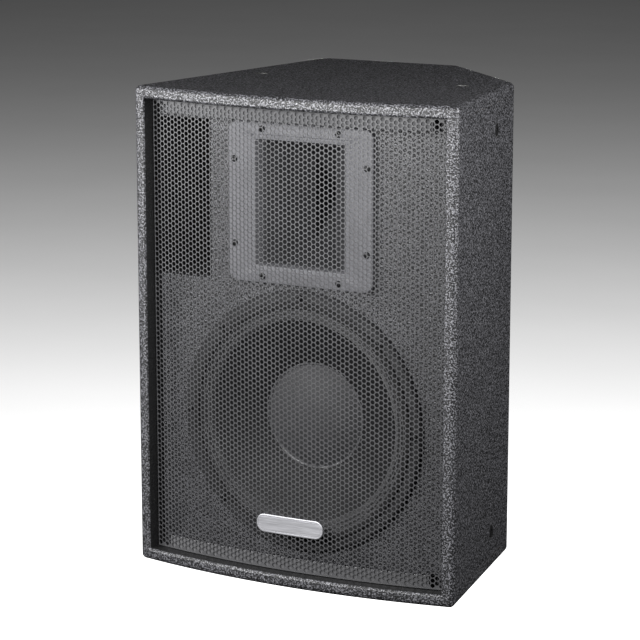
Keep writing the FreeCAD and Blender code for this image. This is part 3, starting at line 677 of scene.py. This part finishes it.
def dress_cad_nodes():
    """Every CAD node gets the look of its slot, apart from the panels and the inside of the port."""
    # Black paint in the port, far darker than the cabinet's paint: painted shade inside the duct.
    port_shade_look = grained("port_paint_and_shade", grey(0.008), grey(0.014), 600, 0.3, (0.6, 0.8))
    baffle_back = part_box("baffle_board")[1].y
    port_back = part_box("port_divider")[1].y
    outward = {
        "top_board": UP, "bottom_board": DOWN, "rear_board": BACK, "right_side_board": side_out(1),
        "left_side_board": side_out(-1), "chamfer_board": Vector((1, 1, 0)).normalized(),
    }
    for node, made in frame["nodes"].items():
        look = LOOKS[MATERIAL_OF[node]]
        if node in outward:
            # Depth up to which the inner faces carry painted shade: the port's back on the left side, the
            # baffle's back elsewhere.
            shade_until = port_back if node == "left_side_board" else baffle_back
            look = board_look(node, outward[node], shade_until)
        elif node in ("port_divider", "port_shelves"):
            look = port_shade_look
        if not made.material_slots:
            made.data.materials.append(look.material)
        for holder in made.material_slots:
            holder.material = look.material


# ---- screws, feet and badge; sizes in millimetres ----

def ring_of(reach_at, height, segments=48):
    """Ring of points at one height; reach_at gives the radius for an angle."""
    angles = [TURN * i / segments for i in range(segments)]
    return [(reach_at(a) * math.cos(a), reach_at(a) * math.sin(a), height) for a in angles]


def circle(radius, height, segments=48):
    return ring_of(lambda a: radius, height, segments)


def hex_ring(across, height):
    return ring_of(lambda a: across / 2 / math.cos((a % (TURN / 6)) - TURN / 12), height)


def drive_ring(reach, half_width, height):
    """Cross-shaped ring: four arms of that reach and half width."""
    def reach_at(a):
        small, big = sorted((abs(math.cos(a)), abs(math.sin(a))))
        return reach / big if small / big <= half_width / reach else half_width / small

    return ring_of(reach_at, height)


def capped(loops):
    """Skin over the loops with both ends closed by a fan."""
    points, faces = skinned(loops)
    count = len(loops[0])
    last = len(points) - count
    for start, height in ((0, loops[0][0][2]), (last, loops[-1][0][2])):
        points.append((0.0, 0.0, height))
        faces += [[start + i, start + (i + 1) % count, len(points) - 1] for i in range(count)]
    return points, faces


def lidded(loops):
    """Skin over the loops with one flat face at each end."""
    points, faces = skinned(loops)
    count = len(loops[0])
    faces.append(list(range(count))[::-1])
    faces.append(list(range(len(points) - count, len(points))))
    return points, faces


def pan_screw(radius, head, shank, length):
    """Pan head with a cross recess; its bearing face is at height 0 and the head points up."""
    reach, arm = 0.56 * radius, 0.15 * radius
    loops = [drive_ring(0.6 * reach, 0.6 * arm, 0.35 * head), drive_ring(reach, arm, 0.93 * head)]
    loops += [drive_ring(1.06 * reach, 1.2 * arm, 0.96 * head), circle(0.64 * radius, 0.94 * head)]
    for share, height in ((0.78, 0.84), (0.9, 0.66), (0.975, 0.42), (1.0, 0.15), (0.985, 0.0)):
        loops.append(circle(share * radius, height * head))
    loops += [circle(1.04 * shank, 0.0), circle(shank, -0.2 * head)]
    turns = max(2, int(length / 1.3))
    for i in range(turns):
        z = -0.2 * head - (length - 0.5 * head) * (i + 0.5) / turns
        step = 0.25 * (length - 0.5 * head) / turns
        loops += [circle(shank, z + step), circle(0.86 * shank, z), circle(shank, z - step)]
    loops.append(circle(0.3 * shank, -length))
    return capped(loops)


def make_fasteners():
    """One piece for all the screws of a node, each at its own CAD solid."""
    for name, node, direction, radius, head, shank, length in (
        ("woofer_fixing_screws", "woofer_screws", FRONT, 4, 2.5, 2.1, 20),
        ("horn_fixing_screws", "horn_screws", FRONT, 4, 2.5, 2.1, 20),
        ("connector_fixing_screws", "connector_plate_screws", BACK, 3, 0.95, 1.5, 10),
        ("driver_cover_fixings", "driver_cover_screws", BACK, 2.8, 2, 1.4, 26),
        ("driver_bolts", "driver_mounting_bolts", FRONT, 4.2, 4, 2.4, 13),
        ("pole_socket_fixings", "pole_socket_screws", DOWN, 4, 1.1, 2.1, 12),
        ("foot_fixings", "foot_screws", DOWN, 4, 2, 2.1, 15),
    ):
        screw = pan_screw(radius, head, shank, length)
        axis = max(range(3), key=lambda i: abs(direction[i]))
        shapes = []
        for box in solids_of(node):
            centre = middle(box)
            centre[axis] = box[direction[axis] > 0][axis] - direction[axis] * head * MM
            shapes.append(aimed(screw, centre, direction))
        piece(name, joined(*shapes), node, sharp=30)


def make_rigging_screws():
    """Countersunk screws with a hexagon socket, flush with the panels."""
    screw = capped([hex_ring(4.655, -3), hex_ring(5.145, -0.12), circle(5.04, 0), circle(6.72, 0),
                    circle(7, -0.24), circle(4.9, -4), circle(4.9, -15)])
    shapes = []
    for box in solids_of("rigging_blanking_screws"):
        centre = middle(box)
        side = 1 if centre.x > 0 else -1
        if box[1].z > cad_high.z - PANEL:
            centre.z, outward = box[1].z, UP
        elif box[0].z < cad_low.z + PANEL:
            centre.z, outward = box[0].z, DOWN
        else:
            outward = side_out(side)
            centre += outward * ((box[1].x - box[0].x) / 2 - 0.6 * MM)
        shapes.append(aimed(screw, centre, outward))
    piece("rigging_blanks", joined(*shapes), "rigging_blanking_screws", sharp=30)


def make_feet():
    """Moulded feet: a rounded rim, a grooved side and a recess for the screw and its washer."""
    shapes = []
    for low, high in solids_of("rubber_feet"):
        top, r = (high.z - low.z) / MM, (high.x - low.x) / 2 / MM
        outline = [
            (2.6, 3), (2.6, top), (r - 0.6, top), (r, top - 0.6), (r - 0.3, 0.62 * top),
            (r - 1, 0.58 * top), (r - 1, 0.5 * top), (r - 0.6, 0.44 * top), (r - 1.3, 1.2), (r - 1.9, 0.4),
            (r - 3, 0), (9, 0), (8.2, 0.5), (5.6, 0.5), (5, 1), (5, 3),
        ]
        shapes.append(aimed(turned(outline, 72), underside(low, high)))
    piece("moulded_feet", joined(*shapes), "rubber_feet", sharp=40)


def rounded_loop(width, height, corner, per_corner=8, per_side=6):
    """Anticlockwise rounded rectangle of (u, v) points, always with the same number of points."""
    corner = min(corner, width / 2, height / 2)

    def on_corner(quarter, share):
        """Point at a share of the way round one of the four corners."""
        a = TURN / 4 * (quarter + share)
        across = 1 if quarter % 4 in (0, 3) else -1
        up = 1 if quarter % 4 in (0, 1) else -1
        return (across * (width / 2 - corner) + corner * math.cos(a),
                up * (height / 2 - corner) + corner * math.sin(a))

    loop = []
    for quarter in range(4):
        loop += [on_corner(quarter, share) for share in shares(per_corner)]
        u, v = loop[-1]
        next_u, next_v = on_corner(quarter + 1, 0)
        for share in shares(per_side)[1:-1]:
            loop.append((u + (next_u - u) * share, v + (next_v - v) * share))
    return loop


def make_badge():
    """Blank bevelled plate with a sunk line inside its rim, bent to the grille."""
    low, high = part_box("blank_badge")
    radius, centre_y = grille_arc()[:2]
    width, height = (high.x - low.x) / MM, (high.z - low.z) / MM
    z = (low.z + high.z) / 2
    loops = []
    for inset, rise in ((0, 0), (0, 0.9), (0.25, 1.25), (0.7, 1.5), (1.9, 1.5), (2.15, 1.2), (2.6, 1.2),
                        (2.85, 1.5)):
        loop = []
        for u, v in rounded_loop(width - 2 * inset, height - 2 * inset, 10 - inset, 8, 10):
            angle = u * MM / radius
            r = radius + rise * MM
            loop.append((r * math.sin(angle), centre_y - r * math.cos(angle), z + v * MM))
        loops.append(loop)
    piece("blank_name_plate", lidded(loops), "blank_badge", sharp=20)


# ---- woofer ----

GASKET_WIDTH = 7.5         # millimetres


def make_cone():
    """Ribbed paper cone, its dust cap, and the bead of glue round the cap."""
    centre, rim, front, back = round_node("woofer_cone")
    neck = round_node("woofer_coil_former")[1]
    skin = 1.2

    def face_at(radius):
        """How far back the face of the cone is at a radius."""
        share = (rim - radius) / (rim - neck)
        return front + (back - front - skin) * (share - 0.022 * math.sin(math.pi * share))

    face = []
    for t in shares(90):
        r = rim + (neck - rim) * t
        rib = sum(math.exp(-((t - at) / 0.012) ** 2) for at in (0.16, 0.24, 0.32, 0.40))
        face.append((r, face_at(r) - 0.35 * rib))
    spun("woofer_cone_body", thickened(face, skin), "woofer_cone", 160, sharp=50)

    cap_rim, cap_front = round_node("woofer_dust_cap")[1:3]
    seat = face_at(cap_rim)
    outer = [(r, cap_front + drop) for r, drop in dome(cap_rim, seat - cap_front, 40)]
    skirt = [(cap_rim + 0.3, seat - 0.3), (cap_rim + 0.5, seat + 0.2)]
    outline = outer + skirt + [(r, y + 0.8) for r, y in reversed(outer)]
    cap_look = doped("cap_paper", grey(0.044), grey(0.062), (300, 4, 0.6), 0.12, (0.55, 0.70), 0.3)
    spun("woofer_cap", outline, "woofer_dust_cap", 160, cap_look, sharp=50, closed=False)
    bead = []
    for i in range(12):
        a = TURN * i / 12
        r = cap_rim + 0.9 + 1.5 * math.cos(a)
        bead.append((r, face_at(r) - 0.2 - 0.8 * math.sin(a)))
    glue = doped("glue_bead", grey(0.06), grey(0.09), (220, 2), 0.3, (0.18, 0.36), 0.6)
    piece("woofer_cap_glue", aimed(turned(bead, 160), centre, BACK), look=glue,
          body=BODY_OF["woofer_cone"], sharp=70)


def make_surround():
    """Doped cloth edge in three rolls, glued under the gasket and onto the cone."""
    centre, outer, front = round_node("woofer_surround")[:3]
    rim, inner = round_node("woofer_cone")[1:3]
    lip = round_node("woofer_gasket")[1] - GASKET_WIDTH
    top = [(outer, front + 0.1), (lip + 0.6, front + 0.15)]
    for t in shares(72):
        roll = 1.15 * math.sin(TURN * 2.5 * t) * math.sin(math.pi * t) ** 0.35
        top.append((lip + (rim - lip) * t, front + 0.3 + (inner - front - 0.6) * t - roll))
    top.append((rim - 4, inner + 1.5))
    made = spun("woofer_surround_cloth", thickened(top, 0.6), "woofer_surround", 160, body="blend",
                sharp=70)
    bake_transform(made)


def make_spider():
    """Corrugated suspension cloth between the frame's seat and the coil former."""
    centre, outer = round_node("woofer_spider")[:2]
    former = round_node("woofer_coil_former")[1]
    seat = round_node("woofer_spider")[3] - 1
    edge = outer - 8
    top = [(outer, seat)]
    for t in shares(120):
        roll = 1.6 * math.sin(TURN * 5 * t) * math.sin(math.pi * t) ** 0.3
        top.append((edge + (former - edge) * t, seat - 5 * t + roll))
    made = spun("woofer_spider_cloth", thickened(top, 0.7), "woofer_spider", body="blend", sharp=70)
    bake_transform(made)


def make_gasket():
    """Four arcs of dense foam with narrow gaps, rounded at the edges."""
    centre, outer, front, back = round_node("woofer_gasket")
    inner = outer - GASKET_WIDTH
    outline = [
        (inner, back), (outer, back), (outer, front + 1), (outer - 0.5, front + 0.3), (outer - 1.3, front),
        (inner + 1.3, front), (inner + 0.5, front + 0.3), (inner, front + 1),
    ]
    gap = 1.6 / outer
    starts = [TURN * (i + 0.5) / 4 + gap / 2 for i in range(4)]
    arcs = [aimed(turned(outline, 40, start, TURN / 4 - gap), centre, BACK) for start in starts]
    piece("woofer_gasket_arcs", joined(*arcs), "woofer_gasket", sharp=40)


# ---- horn ----

MOUTH = (118, 149)         # millimetres, as the other sizes of the horn
SLOT = (26, 104)
SLOT_DEPTH = 64
THROAT = 25
FLANGE = 6
WALL = 4


def stacked(origin, sections, per_corner=8, per_side=6):
    """Loops along y, from (width, height, corner, depth) in millimetres, about an origin in metres."""
    loops = []
    for width, height, corner, depth in sections:
        flat = rounded_loop(width, height, corner, per_corner, per_side)
        loops.append([(origin[0] + u * MM, origin[1] + depth * MM, origin[2] + v * MM) for u, v in flat])
    return loops


def make_horn():
    """One moulding: flange, flared mouth, narrow slot and round throat with its driver flange."""
    low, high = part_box("horn")
    side, end = (high.x - low.x) / MM, (high.y - low.y) / MM
    wide, tall = MOUTH
    slot_wide, slot_tall = SLOT
    sections = [
        (side, side, 12, FLANGE), (side, side, 12, 2.2), (side - 0.6, side - 0.6, 11.8, 0.9),
        (side - 2.2, side - 2.2, 11, 0.2), (side - 4, side - 4, 10, 0),
        (wide + 13, tall + 13, 6, 0), (wide + 12, tall + 12, 5.6, 0.3), (wide + 11, tall + 11, 5.2, 0.9),
        (wide + 2.4, tall + 2.4, 3.4, 0.9), (wide + 0.7, tall + 0.7, 3, 1.2), (wide, tall, 2.6, 2.2),
    ]
    for t in shares(14)[1:]:
        sections.append((wide + (slot_wide - wide) * t ** 0.93, tall + (slot_tall - tall) * t,
                         2.6 + 0.4 * t, 2.2 + (SLOT_DEPTH - 2.2) * t))
    for t in shares(8)[1:]:
        sections.append((slot_wide + (THROAT - slot_wide) * t, slot_tall + (THROAT - slot_tall) * t,
                         3 + 9.5 * t, SLOT_DEPTH + (end - SLOT_DEPTH) * t))
    neck = THROAT + 2 * WALL
    sections += [
        (neck, neck, 16.5, end), (88, 88, 44, end), (88, 88, 44, end - 8),
        (neck + 2, neck + 2, 17, end - 8), (slot_wide + 2 * WALL, slot_tall + 2 * WALL, 6, SLOT_DEPTH),
        (wide + 2 * WALL, tall + 2 * WALL, 6, FLANGE),
    ]
    loops = stacked(on_axis(low, high, low.y), sections)
    piece("horn_moulding", skinned(loops, along=True), "horn", sharp=30)


# ---- motor, driver and electrics ----

def soften(node):
    """Soft edges on a carried-over CAD node."""
    edge = frame["nodes"][node].modifiers.new("soft_edges", "BEVEL")
    edge.width = 0.5 * MM
    edge.segments = 2
    edge.limit_method = "ANGLE"
    edge.angle_limit = math.radians(35)
    edge.use_clamp_overlap = True


def make_coil():
    """Round wire wound in one layer on the woofer's former."""
    outer, front, back = round_node("woofer_voice_coil")[1:]
    wire = 0.15
    turns = int((back - front) / (2.05 * wire))
    outline = [(outer - 1, front)]
    for i in range(turns):
        y = front + (back - front) * (i + 0.5) / turns
        for k in range(5):
            a = math.pi * k / 5
            outline.append((outer - wire + wire * math.sin(a), y - wire * math.cos(a)))
    outline.append((outer - 1, back))
    spun("woofer_coil_turns", outline, "woofer_voice_coil", 96, sharp=60)


def make_motor():
    """Turned plates and rough ferrite rings with chamfered edges."""
    for node, inner, edge in (("woofer_top_plate", 40, 0.8), ("woofer_magnet", 50, 1.6),
                              ("driver_magnet", 30, 1.2)):
        outer, front, back = round_node(node)[1:]
        outline = [
            (inner, front + edge), (inner, back - edge), (inner + edge, back), (outer - edge, back),
            (outer, back - edge), (outer, front + edge), (outer - edge, front), (inner + edge, front),
        ]
        spun(node + "_ring", outline, node)
    outer, front, back = round_node("woofer_back_plate")[1:]
    plate = back - 9
    pole, vent = 36.5, 12
    outline = [
        (vent, front), (vent, back - 2), (vent + 2, back), (outer - 12, back), (outer - 12.6, back - 0.6),
        (outer - 14, back - 0.6), (outer - 14.6, back), (outer - 1, back), (outer, back - 1),
        (outer, plate + 1), (outer - 1, plate), (pole, plate), (pole, front + 1), (pole - 1, front),
    ]
    spun("woofer_pole_plate", outline, "woofer_back_plate")


def make_driver():
    """Compression driver: domed film, its corrugated edge, and the ribbed rear cover."""
    outer, front, back = round_node("driver_diaphragm")[1:]
    film = [(r, back - drop) for r, drop in dome(outer, back - front, 36)]
    spun("driver_dome", thickened(film, -0.3), "driver_diaphragm", 96, sharp=60, closed=False)
    centre, outer, front, back = round_node("driver_surround")
    inner = round_node("driver_voice_coil")[1]
    top = []
    for t in shares(40):
        roll = 0.2 * math.sin(TURN * 2 * t) * math.sin(math.pi * t)
        top.append((outer + (inner - outer) * t, front + (back - front - 0.1) * (0.5 + 0.4 * t) + roll))
    made = spun("driver_edge", thickened(top, 0.1), "driver_surround", 96, body="blend", sharp=70)
    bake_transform(made)
    centre, outer, front, back = round_node("driver_rear_cover")
    tall = back - front
    fine = 144
    inside = ((0.3, tall - 4), (outer - 8, tall - 4), (outer - 8, 0))
    loops = [circle(r, depth, fine) for r, depth in inside]
    for r, depth, rib in ((outer - 0.8, 0, 0.8), (outer - 0.8, tall - 5, 0.8),
                          (outer - 1.6, tall - 2.2, 0.4), (outer - 5, tall, 0), (22, tall, 0),
                          (21.4, tall - 0.6, 0), (0.3, tall - 0.6, 0)):
        loops.append(ring_of(lambda a: r + rib * (round(a / TURN * fine) % 4 < 2), depth, fine))
    cover = aimed(capped(loops), (centre.x, front * MM, centre.z), BACK)
    piece("driver_ribbed_cover", cover, "driver_rear_cover", sharp=30)


def make_sockets():
    """Round locking sockets: flange ring, keyed well, and a core with contact slots."""
    shells, contacts = [], []
    for low, high in solids_of("speaker_sockets"):
        face = on_axis(low, high, high.y)
        r, floor = (high.x - low.x) / 2 / MM, (low.y - high.y) / MM
        outline = [
            (r - 2.5, -26), (r - 2.5, -1.2), (r - 1.9, -0.3), (r - 1.2, 0), (r - 0.4, 0), (r, -0.4),
            (r, floor), (0.4, floor), (0.4, -26),
        ]
        core = [(2.5, -26.5), (5.5, -26.5), (5.5, -4.2), (4.3, -3), (3.3, -3), (2.5, -3.8)]
        shells += [aimed(turned(outline, 96), face, BACK), aimed(turned(core, 72), face, BACK)]
        for side in (-1, 1):
            at = face + MM * Vector((side * (r - 3.1), -14, 0))
            shells.append(block(at, (1.5, 24, 3), 0.4))
        for i in range(4):
            a = TURN * (i + 0.5) / 4
            at = face + MM * Vector((5.3 * math.cos(a), -12, 5.3 * math.sin(a)))
            contacts.append(block(at, (1.6, 14, 1.6), 0.3))
    piece("socket_shells", joined(*shells), "speaker_sockets", sharp=30)
    piece("socket_contacts", joined(*contacts), look=LOOKS["brass_contact"],
          body=BODY_OF["speaker_sockets"])


def block(centre, size, corner):
    """Block with rounded edges all round, about a centre in metres; size and corner in millimetres."""
    half = size[1] / 2
    sections = []
    for depth, inset in ((-half, 1), (-half + 0.3 * corner, 0.3), (-half + corner, 0),
                         (half - corner, 0), (half - 0.3 * corner, 0.3), (half, 1)):
        cut = 2 * inset * corner
        sections.append((size[0] - cut, size[2] - cut, corner, depth))
    return lidded(stacked(centre, sections, 3, 1))


def make_pole_socket():
    """Moulded top hat with a ribbed flange and a collar at its mouth."""
    low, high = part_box("pole_socket")
    flange, top = (high.x - low.x) / 2 / MM, (high.z - low.z) / MM
    bore, wall = 18, 20.5
    outline = [
        (bore, 1.5), (bore, top - 3), (0.4, top - 3), (0.4, top), (wall - 1.5, top), (wall, top - 1.5),
        (wall, 3), (flange - 0.4, 3), (flange, 2.6), (flange, 0.8), (flange - 0.8, 0), (flange - 3.4, 0),
        (flange - 3.8, 0.5), (26.4, 0.5), (26, 0), (bore + 1.5, 0), (bore + 0.5, 0.5),
    ]
    piece("pole_cup", aimed(turned(outline, 128), underside(low, high)), "pole_socket", sharp=30)


def fleece(name, corners, wall, along):
    """Fleece sheet stapled to a board: flat at the back, pillowed and lumpy in front, thin at its edges."""
    across = wall.cross(along)
    spans = []
    for axis in (along, across, wall):
        reach = [axis.dot(p) for p in corners]
        spans.append((min(reach), max(reach)))
    nearest, farthest = spans[2]
    margin = 4 * MM
    steps = 64

    def spread(span, share):
        return span[0] + margin + (span[1] - span[0] - 2 * margin) * share

    loops = []
    for s in shares(steps):
        front, back = [], []
        for t in shares(steps):
            edge = min(s, 1 - s, t, 1 - t)
            ragged = 2.5 * MM * noise.noise(Vector((9 * s, 9 * t, 3.0))) * (1 - min(1, 8 * edge))
            swell = 1 - math.exp(-edge / 0.045)
            staple = 1.0
            for cs in (0.15, 0.5, 0.85):
                for ct in (0.12, 0.88):
                    staple = min(staple, 1 - 0.7 * math.exp(-((s - cs) ** 2 + (t - ct) ** 2) / 0.0012))
            lump = 0.84 + 0.10 * noise.noise(Vector((7 * s, 7 * t, 0.5)))
            lump += 0.06 * noise.noise(Vector((26 * s, 26 * t, 1.5)))
            depth = (farthest - nearest) * min(0.98, max(0.12, swell * staple * lump))
            base = along * (spread(spans[0], s) + ragged) + across * (spread(spans[1], t) - ragged)
            front.append(base + wall * (farthest - depth))
            back.append(base + wall * (farthest - 0.2 * MM))
        loops.append(front + back[::-1])
    points, faces = skinned(loops)
    around = len(loops[0])
    for j in range(steps):
        quad = [j, j + 1, around - 2 - j, around - 1 - j]
        faces += [quad, [p + steps * around for p in quad]]
    made = piece(name, (points, faces), "damping_sheets", sharp=80)


def make_damping():
    """Sheets on the rear board, the right side and the ceiling."""
    points = [v.co for v in frame["nodes"]["damping_sheets"].data.vertices]
    for low, high in solids_of("damping_sheets"):
        corners = [p for p in points if all(low[k] - 1e-5 <= p[k] <= high[k] + 1e-5 for k in range(3))]
        if high.z > cad_high.z - PANEL - 2 * MM:
            fleece("ceiling_fleece", corners, UP, RIGHT)
        elif high.y > cad_high.y - PANEL - 2 * MM:
            fleece("rear_fleece", corners, BACK, RIGHT)
        else:
            fleece("side_fleece", corners, side_out(1), UP)


def make_crossover():
    """Wound air-core coils, wrapped capacitors and cement resistors on their board."""
    coils = []
    for low, high in solids_of("crossover_coils"):
        outer, tall = (high.x - low.x) / 2 / MM, (high.z - low.z) / MM
        rows, wire = 12, 0.9
        outline = [(7, 0.4), (outer - wire, 0.2)]
        for i in range(rows):
            for k in range(5):
                a = math.pi * (k + 0.5) / 5
                height = tall * (i + 0.5 - 0.5 * math.cos(a)) / rows
                outline.append((outer - wire + wire * math.sin(a), height))
        outline += [(outer - wire, tall - 0.2), (7, tall - 0.4)]
        coils.append(aimed(turned(outline, 72), underside(low, high)))
    piece("wound_coils", joined(*coils), "crossover_coils", sharp=60)
    cans = []
    for low, high in solids_of("crossover_capacitors"):
        r, end = (high.x - low.x) / 2 / MM, (high.y - low.y) / MM
        outline = [
            (0.2, 0.8), (r - 1.6, 0.8), (r - 1, 0), (r, 1), (r, end - 1), (r - 1, end),
            (r - 1.6, end - 0.8), (0.2, end - 0.8),
        ]
        cans.append(aimed(turned(outline, 48), on_axis(low, high, low.y), BACK))
    piece("wrapped_capacitors", joined(*cans), "crossover_capacitors", sharp=30)
    bricks = [block(middle(box), (box[1] - box[0]) / MM, 1) for box in solids_of("crossover_resistors")]
    piece("cement_resistors", joined(*bricks), "crossover_resistors", sharp=30)


# ---- studio ----

CAMERA_PLACE = (1.4034, -2.7453, 0.9500)
CAMERA_YAW = 27.97         # degrees that it stands to the right of the front
CAMERA_PITCH = 12.05       # degrees that it looks down
LENS = 145.3               # millimetres
FLOOR_REACH = 60
SOFTBOX = 0.4              # side of the softboxes near the cabinet


def make_floor():
    """Pale floor; it takes its own light, and throws none back on the cabinet."""
    mesh = bpy.data.meshes.new("studio_floor")
    corners = [(x * FLOOR_REACH, y * FLOOR_REACH, 0) for x, y in ((-1, -1), (1, -1), (1, 1), (-1, 1))]
    mesh.from_pydata(corners, [], [[0, 1, 2, 3]])
    floor = bpy.data.objects.new("studio_floor", mesh)
    bpy.context.scene.collection.objects.link(floor)
    look = Look("studio_floor", 0.9, Specular_IOR_Level=0.0)
    look.two_tones(look.noise(3, 2), grey(0.78, 0.0), grey(0.80, 0.0))
    mesh.materials.append(look.material)
    floor.visible_diffuse = False
    floor.visible_glossy = False
    return floor


def make_light(name, place, target, size, power, lit=None, dark=None):
    """Square softbox; it can light one object only, without shadows on it, or leave one out."""
    data = bpy.data.lights.new(name, "AREA")
    data.shape = "SQUARE"
    data.size = size
    data.energy = power
    lamp = bpy.data.objects.new(name, data)
    bpy.context.scene.collection.objects.link(lamp)
    lamp.location = place
    lamp.rotation_euler = (Vector(target) - Vector(place)).to_track_quat("-Z", "Y").to_euler()
    lamp.visible_camera = False
    for other, state in ((lit, "INCLUDE"), (dark, "EXCLUDE")):
        if other:
            kept = bpy.data.collections.new(name + "_linking")
            kept.objects.link(other)
            kept.collection_objects[0].light_linking.link_state = state
            lamp.light_linking.receiver_collection = kept
            if lit:
                lamp.light_linking.blocker_collection = kept
    return lamp


def make_studio():
    floor = make_floor()
    height = cad_high.z
    front = cad_low.y
    upper_front = (-0.1, front, 1.05 * height)
    make_light("key_softbox", (-1.0, front - 0.8, height + 0.21), upper_front, SOFTBOX, 18.5, dark=floor)
    make_light("front_softbox", (-0.1, front - 1.1, height + 0.21), upper_front, SOFTBOX, 22.5, dark=floor)
    make_light("side_softbox", (0.95, -0.25, height + 0.2), (0.2, 0.05, 0.4), SOFTBOX, 12, dark=floor)
    make_light("rear_softbox", (-0.9, 1.9, 0.3), (0, 0, 0.3), 0.5, 40, dark=floor)
    make_light("floor_softbox", (1.40, -2.75, 3.0), (1.40, -2.75, 0), 1.0, 745, lit=floor)
    make_light("far_floor_softbox", (-3.7, 6.9, 4.0), (-3.7, 6.9, 0), 2.0, 6, lit=floor)
    world = bpy.data.worlds.new("studio")
    world.use_nodes = True
    world.node_tree.nodes["Background"].inputs["Color"].default_value = (0.02, 0.02, 0.02, 1)
    world.node_tree.nodes["Background"].inputs["Strength"].default_value = 1.0
    bpy.context.scene.world = world
    bpy.context.scene.view_settings.view_transform = "Standard"


def make_camera():
    """Long lens, to the right of the middle and a little above, looking down at the front."""
    data = bpy.data.cameras.new("camera")
    data.sensor_width = 36.0
    data.lens = LENS
    data.clip_end = 200.0
    camera = bpy.data.objects.new("camera", data)
    bpy.context.scene.collection.objects.link(camera)
    camera.location = CAMERA_PLACE
    camera.rotation_euler = (math.radians(90 - CAMERA_PITCH), 0.0, math.radians(CAMERA_YAW))
    bpy.context.scene.camera = camera


dress_cad_nodes()
make_grille()
make_badge()
make_cone()
make_surround()
make_spider()
make_gasket()
make_horn()
make_fasteners()
make_rigging_screws()
make_feet()
soften("woofer_frame")
make_coil()
make_motor()
make_driver()
make_sockets()
soften("connector_plate")
make_pole_socket()
make_damping()
make_crossover()
make_studio()
make_camera()
